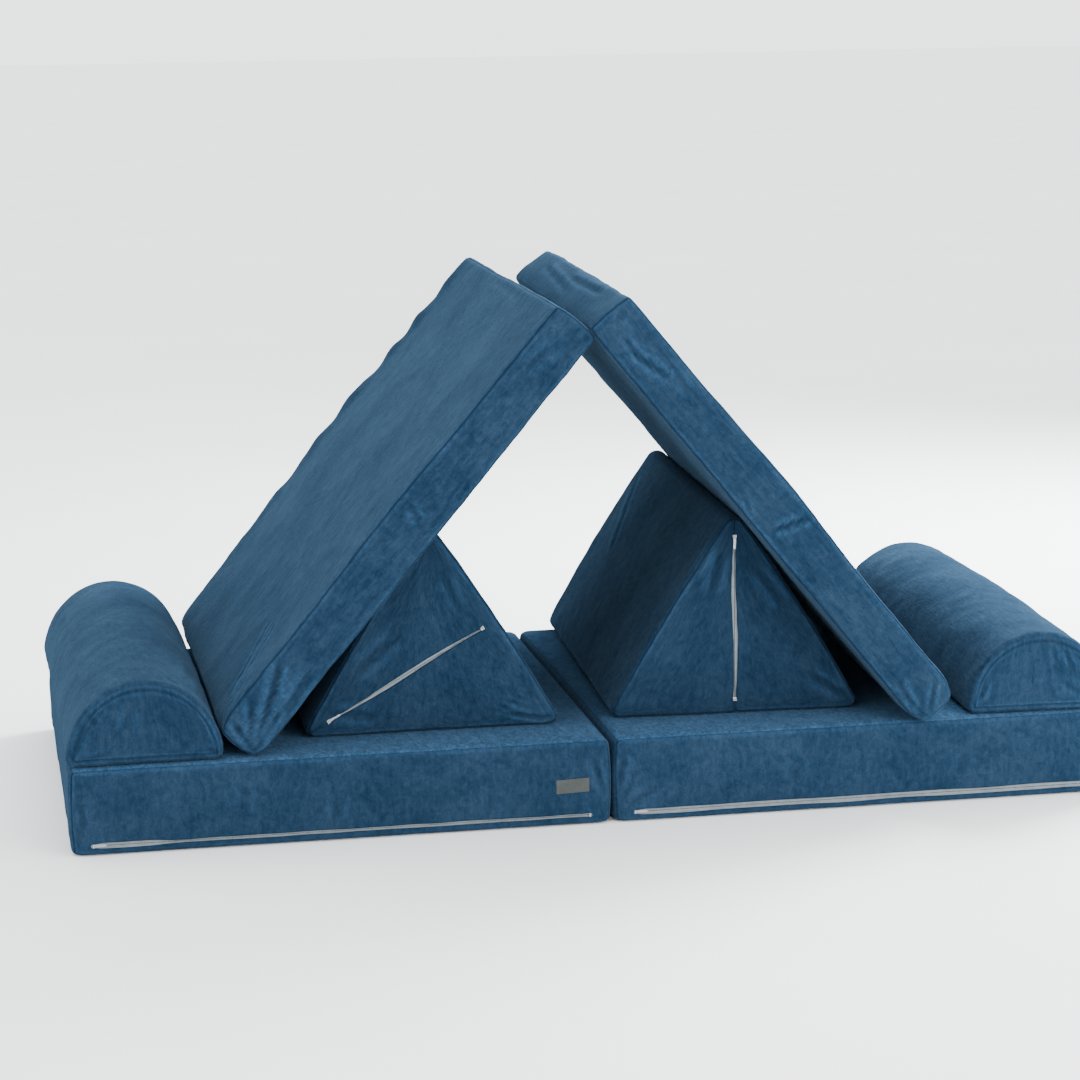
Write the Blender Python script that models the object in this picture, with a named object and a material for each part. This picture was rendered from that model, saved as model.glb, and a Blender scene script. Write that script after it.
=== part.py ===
"""Modular foam play sofa: eight loose foam modules in zipped velvet covers.

Two square base slabs stand side by side on the floor. Two thinner square mats lean together on them
as an A-frame, a triangular wedge stands under each mat, and a half-round bolster lies on the outer
end of each slab. The right mat and its wedge are turned a little together, and so are the bolsters.
Every module is a foam core in a cloth cover that opens with a coil zip.

The frame is in metres, +Z up, +X to the right and the front at -Y. The origin lies on the floor under
the middle of the seam between the two slabs.
"""

from math import cos, pi, radians, sin, sqrt, tan

import bmesh
import bpy
from mathutils import Matrix, Vector

# Clearances
FIT_GAP = 0.0003
CUT_OVERRUN = 0.0015

# Cloth covers
COVER_WALL = 0.0025
CORNER_FLOOR_SHARE = 0.2

# Base slabs
SLAB_SIDE = 0.838
SLAB_HEIGHT = 0.135
SLAB_CORNER = 0.022
SLAB_LOWER_EDGE = 0.008
SLAB_UPPER_EDGE = 0.018
SLAB_BULGE = 0.003

# Leaning mats
MAT_SHORTFALL = 0.006
MAT_SIDE = SLAB_SIDE - MAT_SHORTFALL
MAT_THICKNESS = 0.085
MAT_CORNER = 0.020
MAT_EDGE = 0.014
MAT_BULGE = 0.003
MAT_CROWN = 0.004
MAT_LEFT_LEAN = radians(49.6)
MAT_RIGHT_LEAN = radians(51.1)
MAT_LEFT_SETBACK = 0.019
MAT_RIGHT_OVERHANG = 0.0115
PEAK_SHIFT = 0.0185
RIGHT_TURN = radians(2.8)

# Triangular wedges
WEDGE_WIDTH_SHARE = 0.501
WEDGE_WIDTH = WEDGE_WIDTH_SHARE * SLAB_SIDE
WEDGE_SLOPE = radians(58)
WEDGE_LEFT_SETBACK = 0.117
WEDGE_RIGHT_SETBACK = 0.105
WEDGE_BACK_MARGIN = 0.001
WEDGE_LENGTH = SLAB_SIDE - WEDGE_LEFT_SETBACK - WEDGE_BACK_MARGIN
WEDGE_CORNER = 0.013
WEDGE_TOP_CORNER = 0.020
WEDGE_END_EDGE = 0.010
WEDGE_BULGE = 0.004

# Half-round bolsters
BOLSTER_LAP = 0.0092
BOLSTER_RISE = 0.128
BOLSTER_CROWN = 0.010
BOLSTER_SHORTFALL = 0.018
BOLSTER_LENGTH = SLAB_SIDE - BOLSTER_SHORTFALL
BOLSTER_CORNER = 0.014
BOLSTER_END_EDGE = 0.012
BOLSTER_SETBACK = 0.014
BOLSTER_OVERHANG = 0.008
BOLSTER_LEFT_TURN = radians(0.5)
BOLSTER_RIGHT_TURN = radians(1.9)

# Zips
TAPE_WIDTH = 0.006
TAPE_THICKNESS = 0.0008
TAPE_END_LAP = 0.008
COIL_WIDTH = 0.0015
COIL_THICKNESS = 0.0010
ZIP_SLOT = 0.007
SLIDER_LENGTH = 0.018
SLIDER_SINK = 0.0004
SLIDER_WEB = 0.0010
SLIDER_BACK = 0.0008
STOP_LENGTH = 0.003
STOP_THICKNESS = 0.0012
CHANNEL_MARGIN = 0.0005
SLAB_ZIP_HEIGHT = 0.0157
SLAB_ZIP_MARGIN = 0.034
MAT_ZIP_MARGIN = 0.060
BOLSTER_ZIP_MARGIN = 0.060
WEDGE_ZIP_MARGIN = 0.002

# Label on the left slab
LABEL_WIDTH = 0.052
LABEL_HEIGHT = 0.022
LABEL_THICKNESS = 0.0006
LABEL_FROM_SEAM = 0.064
LABEL_FROM_FLOOR = 0.065

# Mesh steps
CORNER_STEPS = 4
EDGE_STEPS = 3
ROUND_STEPS = 16
HALF_TURN = pi
QUARTER_TURN = pi / 2

# Places between two rounded edges of a slab's side, and how far in the crown's rings lie
BULGE_SHARES = (0.25, 0.5, 0.75)
MAT_BULGE_SHARES = (0.3, 0.7)
CROWN_SHARES = (0.12, 0.4, 0.72)
LENGTH_SHARES = (0.2, 0.4, 0.6, 0.8)
SIDE_SHARES = (0.2, 0.5, 0.8)

# Sizes that follow from the ones above
HALF_TAPE_GAP = SLIDER_WEB / 2 + FIT_GAP
TAPE_OUTER = HALF_TAPE_GAP + TAPE_WIDTH
TAPE_FRONT = -(COVER_WALL + FIT_GAP)
TAPE_BACK = TAPE_FRONT - TAPE_THICKNESS
COIL_BACK = TAPE_BACK - COIL_THICKNESS
SLIDER_PLATE_BACK = COIL_BACK - FIT_GAP - SLIDER_BACK
CHANNEL_FLOOR = SLIDER_PLATE_BACK - FIT_GAP
STOP_HALF_WIDTH = ZIP_SLOT / 2 - FIT_GAP
SLIDER_HALF_WIDTH = ZIP_SLOT / 2 - FIT_GAP

# Left mat's lower edges: how far out from the slabs' seam its foot and its raised outer corner lie
MAT_RUN = MAT_SIDE - 2 * MAT_BULGE - 2 * MAT_EDGE
LEFT_TOP_X = -(PEAK_SHIFT + MAT_EDGE + FIT_GAP / 2)
LEFT_FOOT_X = LEFT_TOP_X - MAT_RUN * cos(MAT_LEFT_LEAN)
LEFT_FOOT_REACH = (MAT_THICKNESS - 2 * MAT_EDGE) * sin(MAT_LEFT_LEAN) + MAT_EDGE - LEFT_FOOT_X
BOLSTER_WIDTH = SLAB_SIDE + BOLSTER_LAP - LEFT_FOOT_REACH


def clear_scene():
    for obj in list(bpy.data.objects):
        bpy.data.objects.remove(obj, do_unlink=True)


def make_material(name, color, roughness, metallic=0.0):
    material = bpy.data.materials.new(name)
    material.use_nodes = True
    shader = material.node_tree.nodes["Principled BSDF"]
    shader.inputs["Base Color"].default_value = (*color, 1.0)
    shader.inputs["Roughness"].default_value = roughness
    shader.inputs["Metallic"].default_value = metallic
    material.diffuse_color = (*color, 1.0)
    return material


def add_object(name, mesh, material, parent=None, place=None):
    obj = bpy.data.objects.new(name, mesh)
    bpy.context.scene.collection.objects.link(obj)
    if material is not None:
        mesh.materials.append(material)
    if parent is not None:
        obj.parent = parent
    if place is not None:
        obj.matrix_local = place
    return obj


def add_empty(name, place):
    empty = bpy.data.objects.new(name, None)
    bpy.context.scene.collection.objects.link(empty)
    empty.matrix_local = place
    return empty


# Closed lofts: a stack of rings with the same number of points, closed by a face at each end

def loft_rings(rings, inward=False):
    bm = bmesh.new()
    rows = [[bm.verts.new(point) for point in ring] for ring in rings]
    for lower, upper in zip(rows, rows[1:]):
        count = len(lower)
        for i in range(count):
            j = (i + 1) % count
            bm.faces.new((lower[i], lower[j], upper[j], upper[i]))
    bm.faces.new(rows[0][::-1])
    bm.faces.new(rows[-1])
    bm.normal_update()
    faces_in = bm.calc_volume(signed=True) < 0
    if faces_in != inward:
        bmesh.ops.reverse_faces(bm, faces=bm.faces[:])
    return bm


def finish_mesh(name, parts):
    """Join the given bmeshes into one mesh, shaded smooth with sharp edges kept."""
    mesh = bpy.data.meshes.new(name)
    whole = bmesh.new()
    for part in parts:
        step = bpy.data.meshes.new(name + "_step")
        part.to_mesh(step)
        part.free()
        whole.from_mesh(step)
        bpy.data.meshes.remove(step)
    whole.to_mesh(mesh)
    whole.free()
    mesh.shade_smooth()
    mesh.set_sharp_from_angle(angle=radians(35))
    return mesh


def offset_profile(profile, distance):
    """Move a profile of (inset, rise) points into the solid, with its end faces, by one distance."""
    first, last = profile[0], profile[-1]
    closed = [(first[0] + distance + COVER_WALL, first[1])] + list(profile)
    closed.append((last[0] + distance + COVER_WALL, last[1]))
    normals = []
    for (i0, w0), (i1, w1) in zip(closed, closed[1:]):
        length = sqrt((i1 - i0) ** 2 + (w1 - w0) ** 2)
        normals.append(((w1 - w0) / length, (i0 - i1) / length))
    moved = []
    for point, (ai, aw), (bi, bw) in zip(profile, normals, normals[1:]):
        scale = distance / (1 + ai * bi + aw * bw)
        moved.append((point[0] + scale * (ai + bi), point[1] + scale * (aw + bw)))
    return moved


def edge_arc(inset, rise, radius, upward):
    """Quarter round from an end face to a side, or back: (inset, rise) of its points."""
    points = []
    for step in range(EDGE_STEPS + 1):
        turn = QUARTER_TURN * step / EDGE_STEPS
        if upward:
            points.append((inset + radius * (1 - sin(turn)), rise + radius * (1 - cos(turn))))
        else:
            points.append((inset + radius * (1 - cos(turn)), rise - radius * (1 - sin(turn))))
    return points


def corner_radius(radius, inset):
    return max(radius - inset, radius * CORNER_FLOOR_SHARE)


# Slab and mat forms: rings are rounded squares, stacked through the thickness

def square_ring(side, corner, inset, rise):
    half = side / 2 - inset
    radius = min(corner_radius(corner, inset), half)
    points = []
    for quarter in range(4):
        start = QUARTER_TURN * quarter
        turn = Matrix.Rotation(start, 2)
        centre = turn @ Vector((half - radius, half - radius))
        for step in range(CORNER_STEPS + 1):
            angle = start + QUARTER_TURN * step / CORNER_STEPS
            points.append((centre.x + radius * cos(angle), centre.y + radius * sin(angle), rise))
    return points


def slab_profile():
    side_height = SLAB_HEIGHT - SLAB_LOWER_EDGE - SLAB_UPPER_EDGE
    profile = edge_arc(SLAB_BULGE, 0, SLAB_LOWER_EDGE, True)
    for share in BULGE_SHARES:
        inset = SLAB_BULGE * (2 * share - 1) ** 2
        profile.append((inset, SLAB_LOWER_EDGE + share * side_height))
    return profile + edge_arc(SLAB_BULGE, SLAB_HEIGHT, SLAB_UPPER_EDGE, False)


def mat_profile():
    rim = MAT_THICKNESS - MAT_CROWN
    side_height = rim - 2 * MAT_EDGE
    profile = edge_arc(MAT_BULGE, 0, MAT_EDGE, True)
    for share in MAT_BULGE_SHARES:
        inset = MAT_BULGE * (2 * share - 1) ** 2
        profile.append((inset, MAT_EDGE + share * side_height))
    profile += edge_arc(MAT_BULGE, rim, MAT_EDGE, False)
    first = MAT_BULGE + MAT_EDGE
    reach = MAT_SIDE / 2 - first
    for share in CROWN_SHARES:
        rise = MAT_CROWN * (1 - (1 - share) ** 2)
        profile.append((first + share * reach, rim + rise))
    return profile


def square_form(side, corner, profile, distance=0.0, inward=False):
    moved = offset_profile(profile, distance) if distance else profile
    return loft_rings([square_ring(side, corner, inset, rise) for inset, rise in moved], inward)


# Wedge and bolster forms: rings are outlines in X and Z, stacked along Y

def end_profile(length, edge, shares=()):
    profile = edge_arc(0, 0, edge, True)
    for share in shares:
        profile.append((0, edge + share * (length - 2 * edge)))
    return profile + edge_arc(0, length, edge, False)


def wedge_corners():
    """Sharp corners of the triangle, the half angle at each and the direction into it."""
    half = WEDGE_WIDTH / 2
    points = (Vector((-half, 0)), Vector((half, 0)), Vector((0, half * tan(WEDGE_SLOPE))))
    half_angles = (WEDGE_SLOPE / 2, WEDGE_SLOPE / 2, QUARTER_TURN - WEDGE_SLOPE)
    turns = (WEDGE_SLOPE / 2, HALF_TURN - WEDGE_SLOPE / 2, -QUARTER_TURN)
    return points, half_angles, [Vector((cos(turn), sin(turn))) for turn in turns]


def wedge_outline(inset):
    """Triangle on its flat side, with rounded corners and two crowned slopes."""
    corners, half_angles, inward = wedge_corners()
    radii = [corner_radius(full, inset) for full in (WEDGE_CORNER, WEDGE_CORNER, WEDGE_TOP_CORNER)]
    centres = []
    for k in range(3):
        centres.append(corners[k] + inward[k] * (inset + radii[k]) / sin(half_angles[k]))
    facing = (QUARTER_TURN + WEDGE_SLOPE - 2 * HALF_TURN, -QUARTER_TURN, QUARTER_TURN - WEDGE_SLOPE)
    bulges = (0.0, WEDGE_BULGE, WEDGE_BULGE)
    points = []
    for k in range(3):
        sweep = HALF_TURN - 2 * half_angles[k]
        for step in range(CORNER_STEPS + 1):
            angle = facing[k] + sweep * step / CORNER_STEPS
            points.append(centres[k] + radii[k] * Vector((cos(angle), sin(angle))))
        normal = Vector((cos(facing[k] + sweep), sin(facing[k] + sweep)))
        start = centres[k] + radii[k] * normal
        end = centres[(k + 1) % 3] + radii[(k + 1) % 3] * normal
        if bulges[k]:
            for share in SIDE_SHARES:
                crown = bulges[k] * 4 * share * (1 - share)
                points.append(start.lerp(end, share) + crown * normal)
    return points


def bolster_outline(inset, rise):
    """Half round on its flat side, with rounded lower corners."""
    radius = BOLSTER_WIDTH / 2 - inset
    corner = corner_radius(BOLSTER_CORNER, inset)
    lift = inset + corner
    across = sqrt((radius - corner) ** 2 - lift ** 2)
    tilt = Vector((across, lift)).angle_signed(Vector((1, 0)))
    top = BOLSTER_WIDTH / 2
    points = []
    for step in range(CORNER_STEPS + 1):
        angle = -QUARTER_TURN + (QUARTER_TURN + tilt) * step / CORNER_STEPS
        points.append(Vector((across + corner * cos(angle), lift + corner * sin(angle))))
    for step in range(1, ROUND_STEPS):
        angle = tilt + (HALF_TURN - 2 * tilt) * step / ROUND_STEPS
        points.append(Vector((radius * cos(angle), radius * sin(angle))))
    for point in points[CORNER_STEPS::-1]:
        points.append(Vector((-point.x, point.y)))
    return [Vector((point.x, inset + (point.y - inset) * rise / top)) for point in points]


def bolster_rise(along):
    offset = 2 * along / BOLSTER_LENGTH - 1
    return BOLSTER_RISE + BOLSTER_CROWN * (1 - offset ** 2)


def wedge_form(distance=0.0, inward=False):
    profile = end_profile(WEDGE_LENGTH, WEDGE_END_EDGE)
    moved = offset_profile(profile, distance) if distance else profile
    rings = []
    for inset, along in moved:
        outline = wedge_outline(inset)
        rings.append([(point.x, along - WEDGE_LENGTH / 2, point.y) for point in outline])
    return loft_rings(rings, inward)


def bolster_form(distance=0.0, inward=False):
    profile = end_profile(BOLSTER_LENGTH, BOLSTER_END_EDGE, LENGTH_SHARES)
    moved = offset_profile(profile, distance) if distance else profile
    rings = []
    for inset, along in moved:
        outline = bolster_outline(inset, bolster_rise(along))
        rings.append([(point.x, along - BOLSTER_LENGTH / 2, point.y) for point in outline])
    return loft_rings(rings, inward)


# Zips: every zip is built along its own X axis, with +Z out of the cover, and then placed

def box_mesh(name, low, high):
    bm = bmesh.new()
    bmesh.ops.create_cube(bm, size=1)
    size = Vector(high) - Vector(low)
    centre = (Vector(high) + Vector(low)) / 2
    bmesh.ops.transform(bm, verts=bm.verts, matrix=Matrix.Translation(centre) @ Matrix.Diagonal((*size, 1)))
    return finish_mesh(name, [bm])


def bar_mesh(name, section, length):
    """A bar along X with the given (Y, Z) section."""
    rings = [[(end, y, z) for y, z in section] for end in (-length / 2, length / 2)]
    return finish_mesh(name, [loft_rings(rings)])


def tape_section(side):
    """One tape half: flat cloth with the coil along its inner edge, on the inside of the cover."""
    coil_edge = HALF_TAPE_GAP + COIL_WIDTH
    half_coil = COIL_THICKNESS / 2
    points = [
        (HALF_TAPE_GAP, TAPE_FRONT),
        (TAPE_OUTER, TAPE_FRONT),
        (TAPE_OUTER, TAPE_BACK),
        (coil_edge, TAPE_BACK),
        (coil_edge, TAPE_BACK - half_coil),
        (coil_edge - half_coil, COIL_BACK),
        (HALF_TAPE_GAP, COIL_BACK),
    ]
    return [(side * y, z) for y, z in points]


def slider_section():
    """Front plate in the cover's slot, thin web between the tape halves, back plate behind the coil."""
    wide, web = SLIDER_HALF_WIDTH, SLIDER_WEB / 2
    front_low = TAPE_FRONT + FIT_GAP
    back_high = COIL_BACK - FIT_GAP
    right = [
        (wide, SLIDER_PLATE_BACK),
        (wide, back_high),
        (web, back_high),
        (web, front_low),
        (wide, front_low),
        (wide, -SLIDER_SINK),
    ]
    return right + [(-y, z) for y, z in right[::-1]]


def slider_start(slot_length):
    return slot_length / 2 - 2 * FIT_GAP - STOP_LENGTH - SLIDER_LENGTH / 2


def zip_frame(origin, along, outward):
    across = outward.cross(along)
    frame = Matrix((along, across, outward)).transposed().to_4x4()
    return Matrix.Translation(origin) @ frame


def add_cutter(name, low, high, parent, place):
    cutter = add_object(name, box_mesh(name, low, high), None, parent, place)
    cutter.hide_render = True
    cutter.display_type = "WIRE"
    return cutter


def cut_with(target, cutter):
    modifier = target.modifiers.new("zip opening", "BOOLEAN")
    modifier.operation = "DIFFERENCE"
    modifier.solver = "EXACT"
    modifier.object = cutter


def add_zip(module, parent, cover, core, place, slot_length, materials, sides):
    """Cut the cover and the core for one zip and add its two tapes, its slider and its two stops."""
    half_slot = slot_length / 2
    half_tape = half_slot + TAPE_END_LAP
    half_channel = half_tape + CHANNEL_MARGIN
    channel_width = TAPE_OUTER + CHANNEL_MARGIN
    slot = add_cutter(
        module + "_slot_cutter",
        (-half_slot, -ZIP_SLOT / 2, TAPE_FRONT - CUT_OVERRUN),
        (half_slot, ZIP_SLOT / 2, CUT_OVERRUN),
        parent, place)
    channel = add_cutter(
        module + "_channel_cutter",
        (-half_channel, -channel_width, CHANNEL_FLOOR),
        (half_channel, channel_width, CUT_OVERRUN),
        parent, place)
    cut_with(cover, slot)
    cut_with(core, channel)
    for side, word in zip((1, -1), sides):
        name = module + "_zip_tape_" + word
        add_object(name, bar_mesh(name, tape_section(side), 2 * half_tape), materials["tape"], parent, place)
    name = module + "_zip_slider"
    slider_place = place @ Matrix.Translation((-slider_start(slot_length), 0, 0))
    add_object(name, bar_mesh(name, slider_section(), SLIDER_LENGTH), materials["slider"], parent, slider_place)
    stop_low = TAPE_FRONT + FIT_GAP
    stop_at = half_slot - FIT_GAP - STOP_LENGTH / 2
    for side, word in ((-1, "start"), (1, "end")):
        name = module + "_zip_stop_" + word
        low = (-STOP_LENGTH / 2, -STOP_HALF_WIDTH, stop_low)
        high = (STOP_LENGTH / 2, STOP_HALF_WIDTH, stop_low + STOP_THICKNESS)
        stop_place = place @ Matrix.Translation((side * stop_at, 0, 0))
        add_object(name, box_mesh(name, low, high), materials["stop"], parent, stop_place)


# Modules

def add_cover_and_core(module, parent, form, materials):
    """A hollow cover and the foam core that fills it with one fitting gap."""
    cover_mesh = finish_mesh(module + "_cover", [form(), form(COVER_WALL, True)])
    core_mesh = finish_mesh(module + "_foam_core", [form(COVER_WALL + FIT_GAP)])
    cover = add_object(module + "_cover", cover_mesh, materials["velvet"], parent, Matrix())
    core = add_object(module + "_foam_core", core_mesh, materials["foam"], parent, Matrix())
    return cover, core


def add_slab(module, centre_x, materials):
    parent = add_empty(module + "_module", Matrix.Translation((centre_x, 0, 0)))

    def form(distance=0.0, inward=False):
        return square_form(SLAB_SIDE, SLAB_CORNER, slab_profile(), distance, inward)

    cover, core = add_cover_and_core(module, parent, form, materials)
    profile = slab_profile()
    low, high = profile[EDGE_STEPS], profile[EDGE_STEPS + 1]
    share = (SLAB_ZIP_HEIGHT - low[1]) / (high[1] - low[1])
    inset = low[0] + share * (high[0] - low[0])
    up = Vector((0, high[0] - low[0], high[1] - low[1])).normalized()
    along = Vector((1, 0, 0))
    place = zip_frame((0, inset - SLAB_SIDE / 2, SLAB_ZIP_HEIGHT), along, along.cross(up))
    slot_length = SLAB_SIDE - 2 * SLAB_ZIP_MARGIN
    add_zip(module, parent, cover, core, place, slot_length, materials, ("upper", "lower"))
    return parent


def add_label(parent, materials):
    """Blank cloth label on the left slab's front, near the seam."""
    centre_x = SLAB_SIDE / 2 - LABEL_FROM_SEAM
    back = -SLAB_SIDE / 2 - FIT_GAP
    low = (centre_x - LABEL_WIDTH / 2, back - LABEL_THICKNESS, LABEL_FROM_FLOOR - LABEL_HEIGHT / 2)
    high = (centre_x + LABEL_WIDTH / 2, back, LABEL_FROM_FLOOR + LABEL_HEIGHT / 2)
    add_object("base_left_label", box_mesh("base_left_label", low, high), materials["label"], parent, Matrix())


def mat_foot(side):
    """Lean of a mat and the x of the rounding of its lower inner edge, before it is turned."""
    if side < 0:
        return MAT_LEFT_LEAN, LEFT_FOOT_X
    step_up = MAT_RUN * (sin(MAT_RIGHT_LEAN) - sin(MAT_LEFT_LEAN))
    apart = sqrt((2 * MAT_EDGE + FIT_GAP) ** 2 - step_up ** 2)
    return MAT_RIGHT_LEAN, LEFT_TOP_X + apart + MAT_RUN * cos(MAT_RIGHT_LEAN) * cos(RIGHT_TURN)


def mat_origin(side):
    """Lean of a mat and the x and z of the middle of its inner face, before it is turned."""
    lean, foot_x = mat_foot(side)
    foot_z = SLAB_HEIGHT + FIT_GAP + MAT_EDGE
    x = foot_x - side * (MAT_RUN / 2 * cos(lean) + MAT_EDGE * sin(lean))
    return lean, x, foot_z + MAT_RUN / 2 * sin(lean) - MAT_EDGE * cos(lean)


def turned_with_mat(side, place):
    """The right mat and its wedge turn together about the front of the mat's foot."""
    if side < 0:
        return place
    pivot = Vector((mat_foot(side)[1], -SLAB_SIDE / 2, 0))
    turn = Matrix.Rotation(-RIGHT_TURN, 4, "Z")
    return Matrix.Translation(pivot) @ turn @ Matrix.Translation(-pivot) @ place


def add_mat(module, side, setback, materials):
    """side is -1 for the left mat and 1 for the right one."""
    lean, x, z = mat_origin(side)
    y = setback + MAT_SIDE / 2 - SLAB_SIDE / 2
    leaning = Matrix.Translation((x, y, z)) @ Matrix.Rotation(side * lean, 4, "Y")
    parent = add_empty(module + "_module", turned_with_mat(side, leaning))

    def form(distance=0.0, inward=False):
        return square_form(MAT_SIDE, MAT_CORNER, mat_profile(), distance, inward)

    cover, core = add_cover_and_core(module, parent, form, materials)
    profile = mat_profile()
    low, high = profile[EDGE_STEPS + 1], profile[EDGE_STEPS + 2]
    rise = (low[1] + high[1]) / 2
    origin = (0, MAT_SIDE / 2 - (low[0] + high[0]) / 2, rise)
    place = zip_frame(origin, Vector((-1, 0, 0)), Vector((0, 1, 0)))
    slot_length = MAT_SIDE - 2 * MAT_ZIP_MARGIN
    add_zip(module, parent, cover, core, place, slot_length, materials, ("outer", "inner"))
    return parent


def wedge_centre(side):
    """x at which the wedge's top corner comes up under the mat's inner face, before it is turned."""
    lean, x, z = mat_origin(side)
    corners, half_angles, inward = wedge_corners()
    apex = SLAB_HEIGHT + FIT_GAP + corners[2].y - WEDGE_TOP_CORNER / sin(half_angles[2])
    return x - side * (WEDGE_TOP_CORNER + FIT_GAP + (apex - z) * cos(lean)) / sin(lean)


def wedge_zip_ends(zip_corner):
    """Where a tape that starts in one corner of the end face can begin and end, along its way in."""
    corners, half_angles, inward = wedge_corners()
    run, half_angle = inward[zip_corner], half_angles[zip_corner]
    margin = WEDGE_END_EDGE + COVER_WALL + FIT_GAP + WEDGE_ZIP_MARGIN
    rounding = (WEDGE_CORNER, WEDGE_CORNER, WEDGE_TOP_CORNER)[zip_corner]
    by_width = (margin + TAPE_OUTER * cos(half_angle)) / sin(half_angle)
    by_rounding = margin + rounding / sin(half_angle) - rounding
    facing = (QUARTER_TURN - WEDGE_SLOPE, QUARTER_TURN + WEDGE_SLOPE, -QUARTER_TURN)[zip_corner]
    normal = Vector((cos(facing), sin(facing)))
    depth = (corners[(zip_corner + 1) % 3] - corners[zip_corner]).dot(normal)
    skew = abs(run.x * normal.y - run.y * normal.x)
    return max(by_width, by_rounding), (depth - margin - TAPE_OUTER * skew) / run.dot(normal)


def add_wedge(module, side, setback, zip_corner, materials):
    """zip_corner is the corner, from 0 at lower left, where the zip on the front end face starts."""
    y = setback + WEDGE_LENGTH / 2 - SLAB_SIDE / 2
    standing = Matrix.Translation((wedge_centre(side), y, SLAB_HEIGHT + FIT_GAP))
    parent = add_empty(module + "_module", turned_with_mat(side, standing))
    cover, core = add_cover_and_core(module, parent, wedge_form, materials)
    corners, half_angles, inward = wedge_corners()
    near, far = wedge_zip_ends(zip_corner)
    slot_length = far - near - 2 * (TAPE_END_LAP + CHANNEL_MARGIN)
    run = inward[zip_corner]
    origin = corners[zip_corner] + run * (near + far) / 2
    along = Vector((run.x, 0, run.y))
    place = zip_frame((origin.x, -WEDGE_LENGTH / 2, origin.y), along, Vector((0, -1, 0)))
    add_zip(module, parent, cover, core, place, slot_length, materials, ("upper", "lower"))
    return parent


def add_bolster(module, side, turn, materials):
    """turn is how far the back end points outwards."""
    half_spread = BOLSTER_WIDTH / 2 * cos(turn) + (BOLSTER_LENGTH / 2 - BOLSTER_END_EDGE) * sin(turn)
    centre_x = side * (SLAB_SIDE + BOLSTER_OVERHANG - half_spread)
    y = BOLSTER_SETBACK + BOLSTER_LENGTH / 2 - SLAB_SIDE / 2
    lying = Matrix.Translation((centre_x, y, SLAB_HEIGHT + FIT_GAP))
    parent = add_empty(module + "_module", lying @ Matrix.Rotation(-side * turn, 4, "Z"))
    cover, core = add_cover_and_core(module, parent, bolster_form, materials)
    place = zip_frame((0, 0, 0), Vector((0, 1, 0)), Vector((0, 0, -1)))
    slot_length = BOLSTER_LENGTH - 2 * BOLSTER_ZIP_MARGIN
    add_zip(module, parent, cover, core, place, slot_length, materials, ("right", "left"))
    return parent


def main():
    clear_scene()
    materials = {
        "velvet": make_material("blue velvet", (0.022, 0.072, 0.145), 0.85),
        "foam": make_material("polyurethane foam", (0.80, 0.74, 0.56), 0.95),
        "tape": make_material("grey zip tape", (0.55, 0.58, 0.60), 0.8),
        "slider": make_material("zip slider metal", (0.35, 0.36, 0.38), 0.35, 1.0),
        "stop": make_material("white zip stop", (0.80, 0.80, 0.78), 0.5),
        "label": make_material("white label cloth", (0.78, 0.76, 0.70), 0.8),
    }
    slab_x = SLAB_SIDE / 2 + FIT_GAP / 2
    left = add_slab("base_left", -slab_x, materials)
    add_label(left, materials)
    add_slab("base_right", slab_x, materials)
    add_mat("mat_left", -1, MAT_LEFT_SETBACK, materials)
    add_mat("mat_right", 1, -MAT_RIGHT_OVERHANG, materials)
    add_wedge("wedge_left", -1, WEDGE_LEFT_SETBACK, 0, materials)
    add_wedge("wedge_right", 1, WEDGE_RIGHT_SETBACK, 2, materials)
    add_bolster("bolster_left", -1, BOLSTER_LEFT_TURN, materials)
    add_bolster("bolster_right", 1, BOLSTER_RIGHT_TURN, materials)
    bpy.context.view_layer.update()


main()
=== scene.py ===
"""Looks of the modular foam play sofa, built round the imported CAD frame.

Each velvet cover is a block cut into panels, rounded to its module's form, subdivided, and then sewn,
creased and zipped by moving its points, all in its module's own frame. Lengths are in metres.
"""
from itertools import product
from math import atan, cos, pi, radians, sin, sqrt, tan

import bmesh
import bpy
import numpy as np
from mathutils import Matrix, Vector


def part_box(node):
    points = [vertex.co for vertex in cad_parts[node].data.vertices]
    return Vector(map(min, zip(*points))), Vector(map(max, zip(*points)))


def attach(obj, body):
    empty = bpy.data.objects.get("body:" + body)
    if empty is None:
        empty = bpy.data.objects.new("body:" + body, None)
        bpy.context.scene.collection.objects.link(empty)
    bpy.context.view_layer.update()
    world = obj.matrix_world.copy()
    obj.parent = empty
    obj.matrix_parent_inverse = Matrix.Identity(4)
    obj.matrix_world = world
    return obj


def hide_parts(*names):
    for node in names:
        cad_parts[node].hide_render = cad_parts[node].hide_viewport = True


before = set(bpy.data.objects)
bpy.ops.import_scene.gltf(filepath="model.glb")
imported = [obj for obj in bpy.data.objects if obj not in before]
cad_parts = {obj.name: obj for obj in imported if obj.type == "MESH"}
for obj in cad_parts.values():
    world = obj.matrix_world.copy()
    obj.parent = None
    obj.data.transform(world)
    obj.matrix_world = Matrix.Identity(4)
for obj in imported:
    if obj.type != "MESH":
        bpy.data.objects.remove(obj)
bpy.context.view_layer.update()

MM = 0.001

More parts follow.
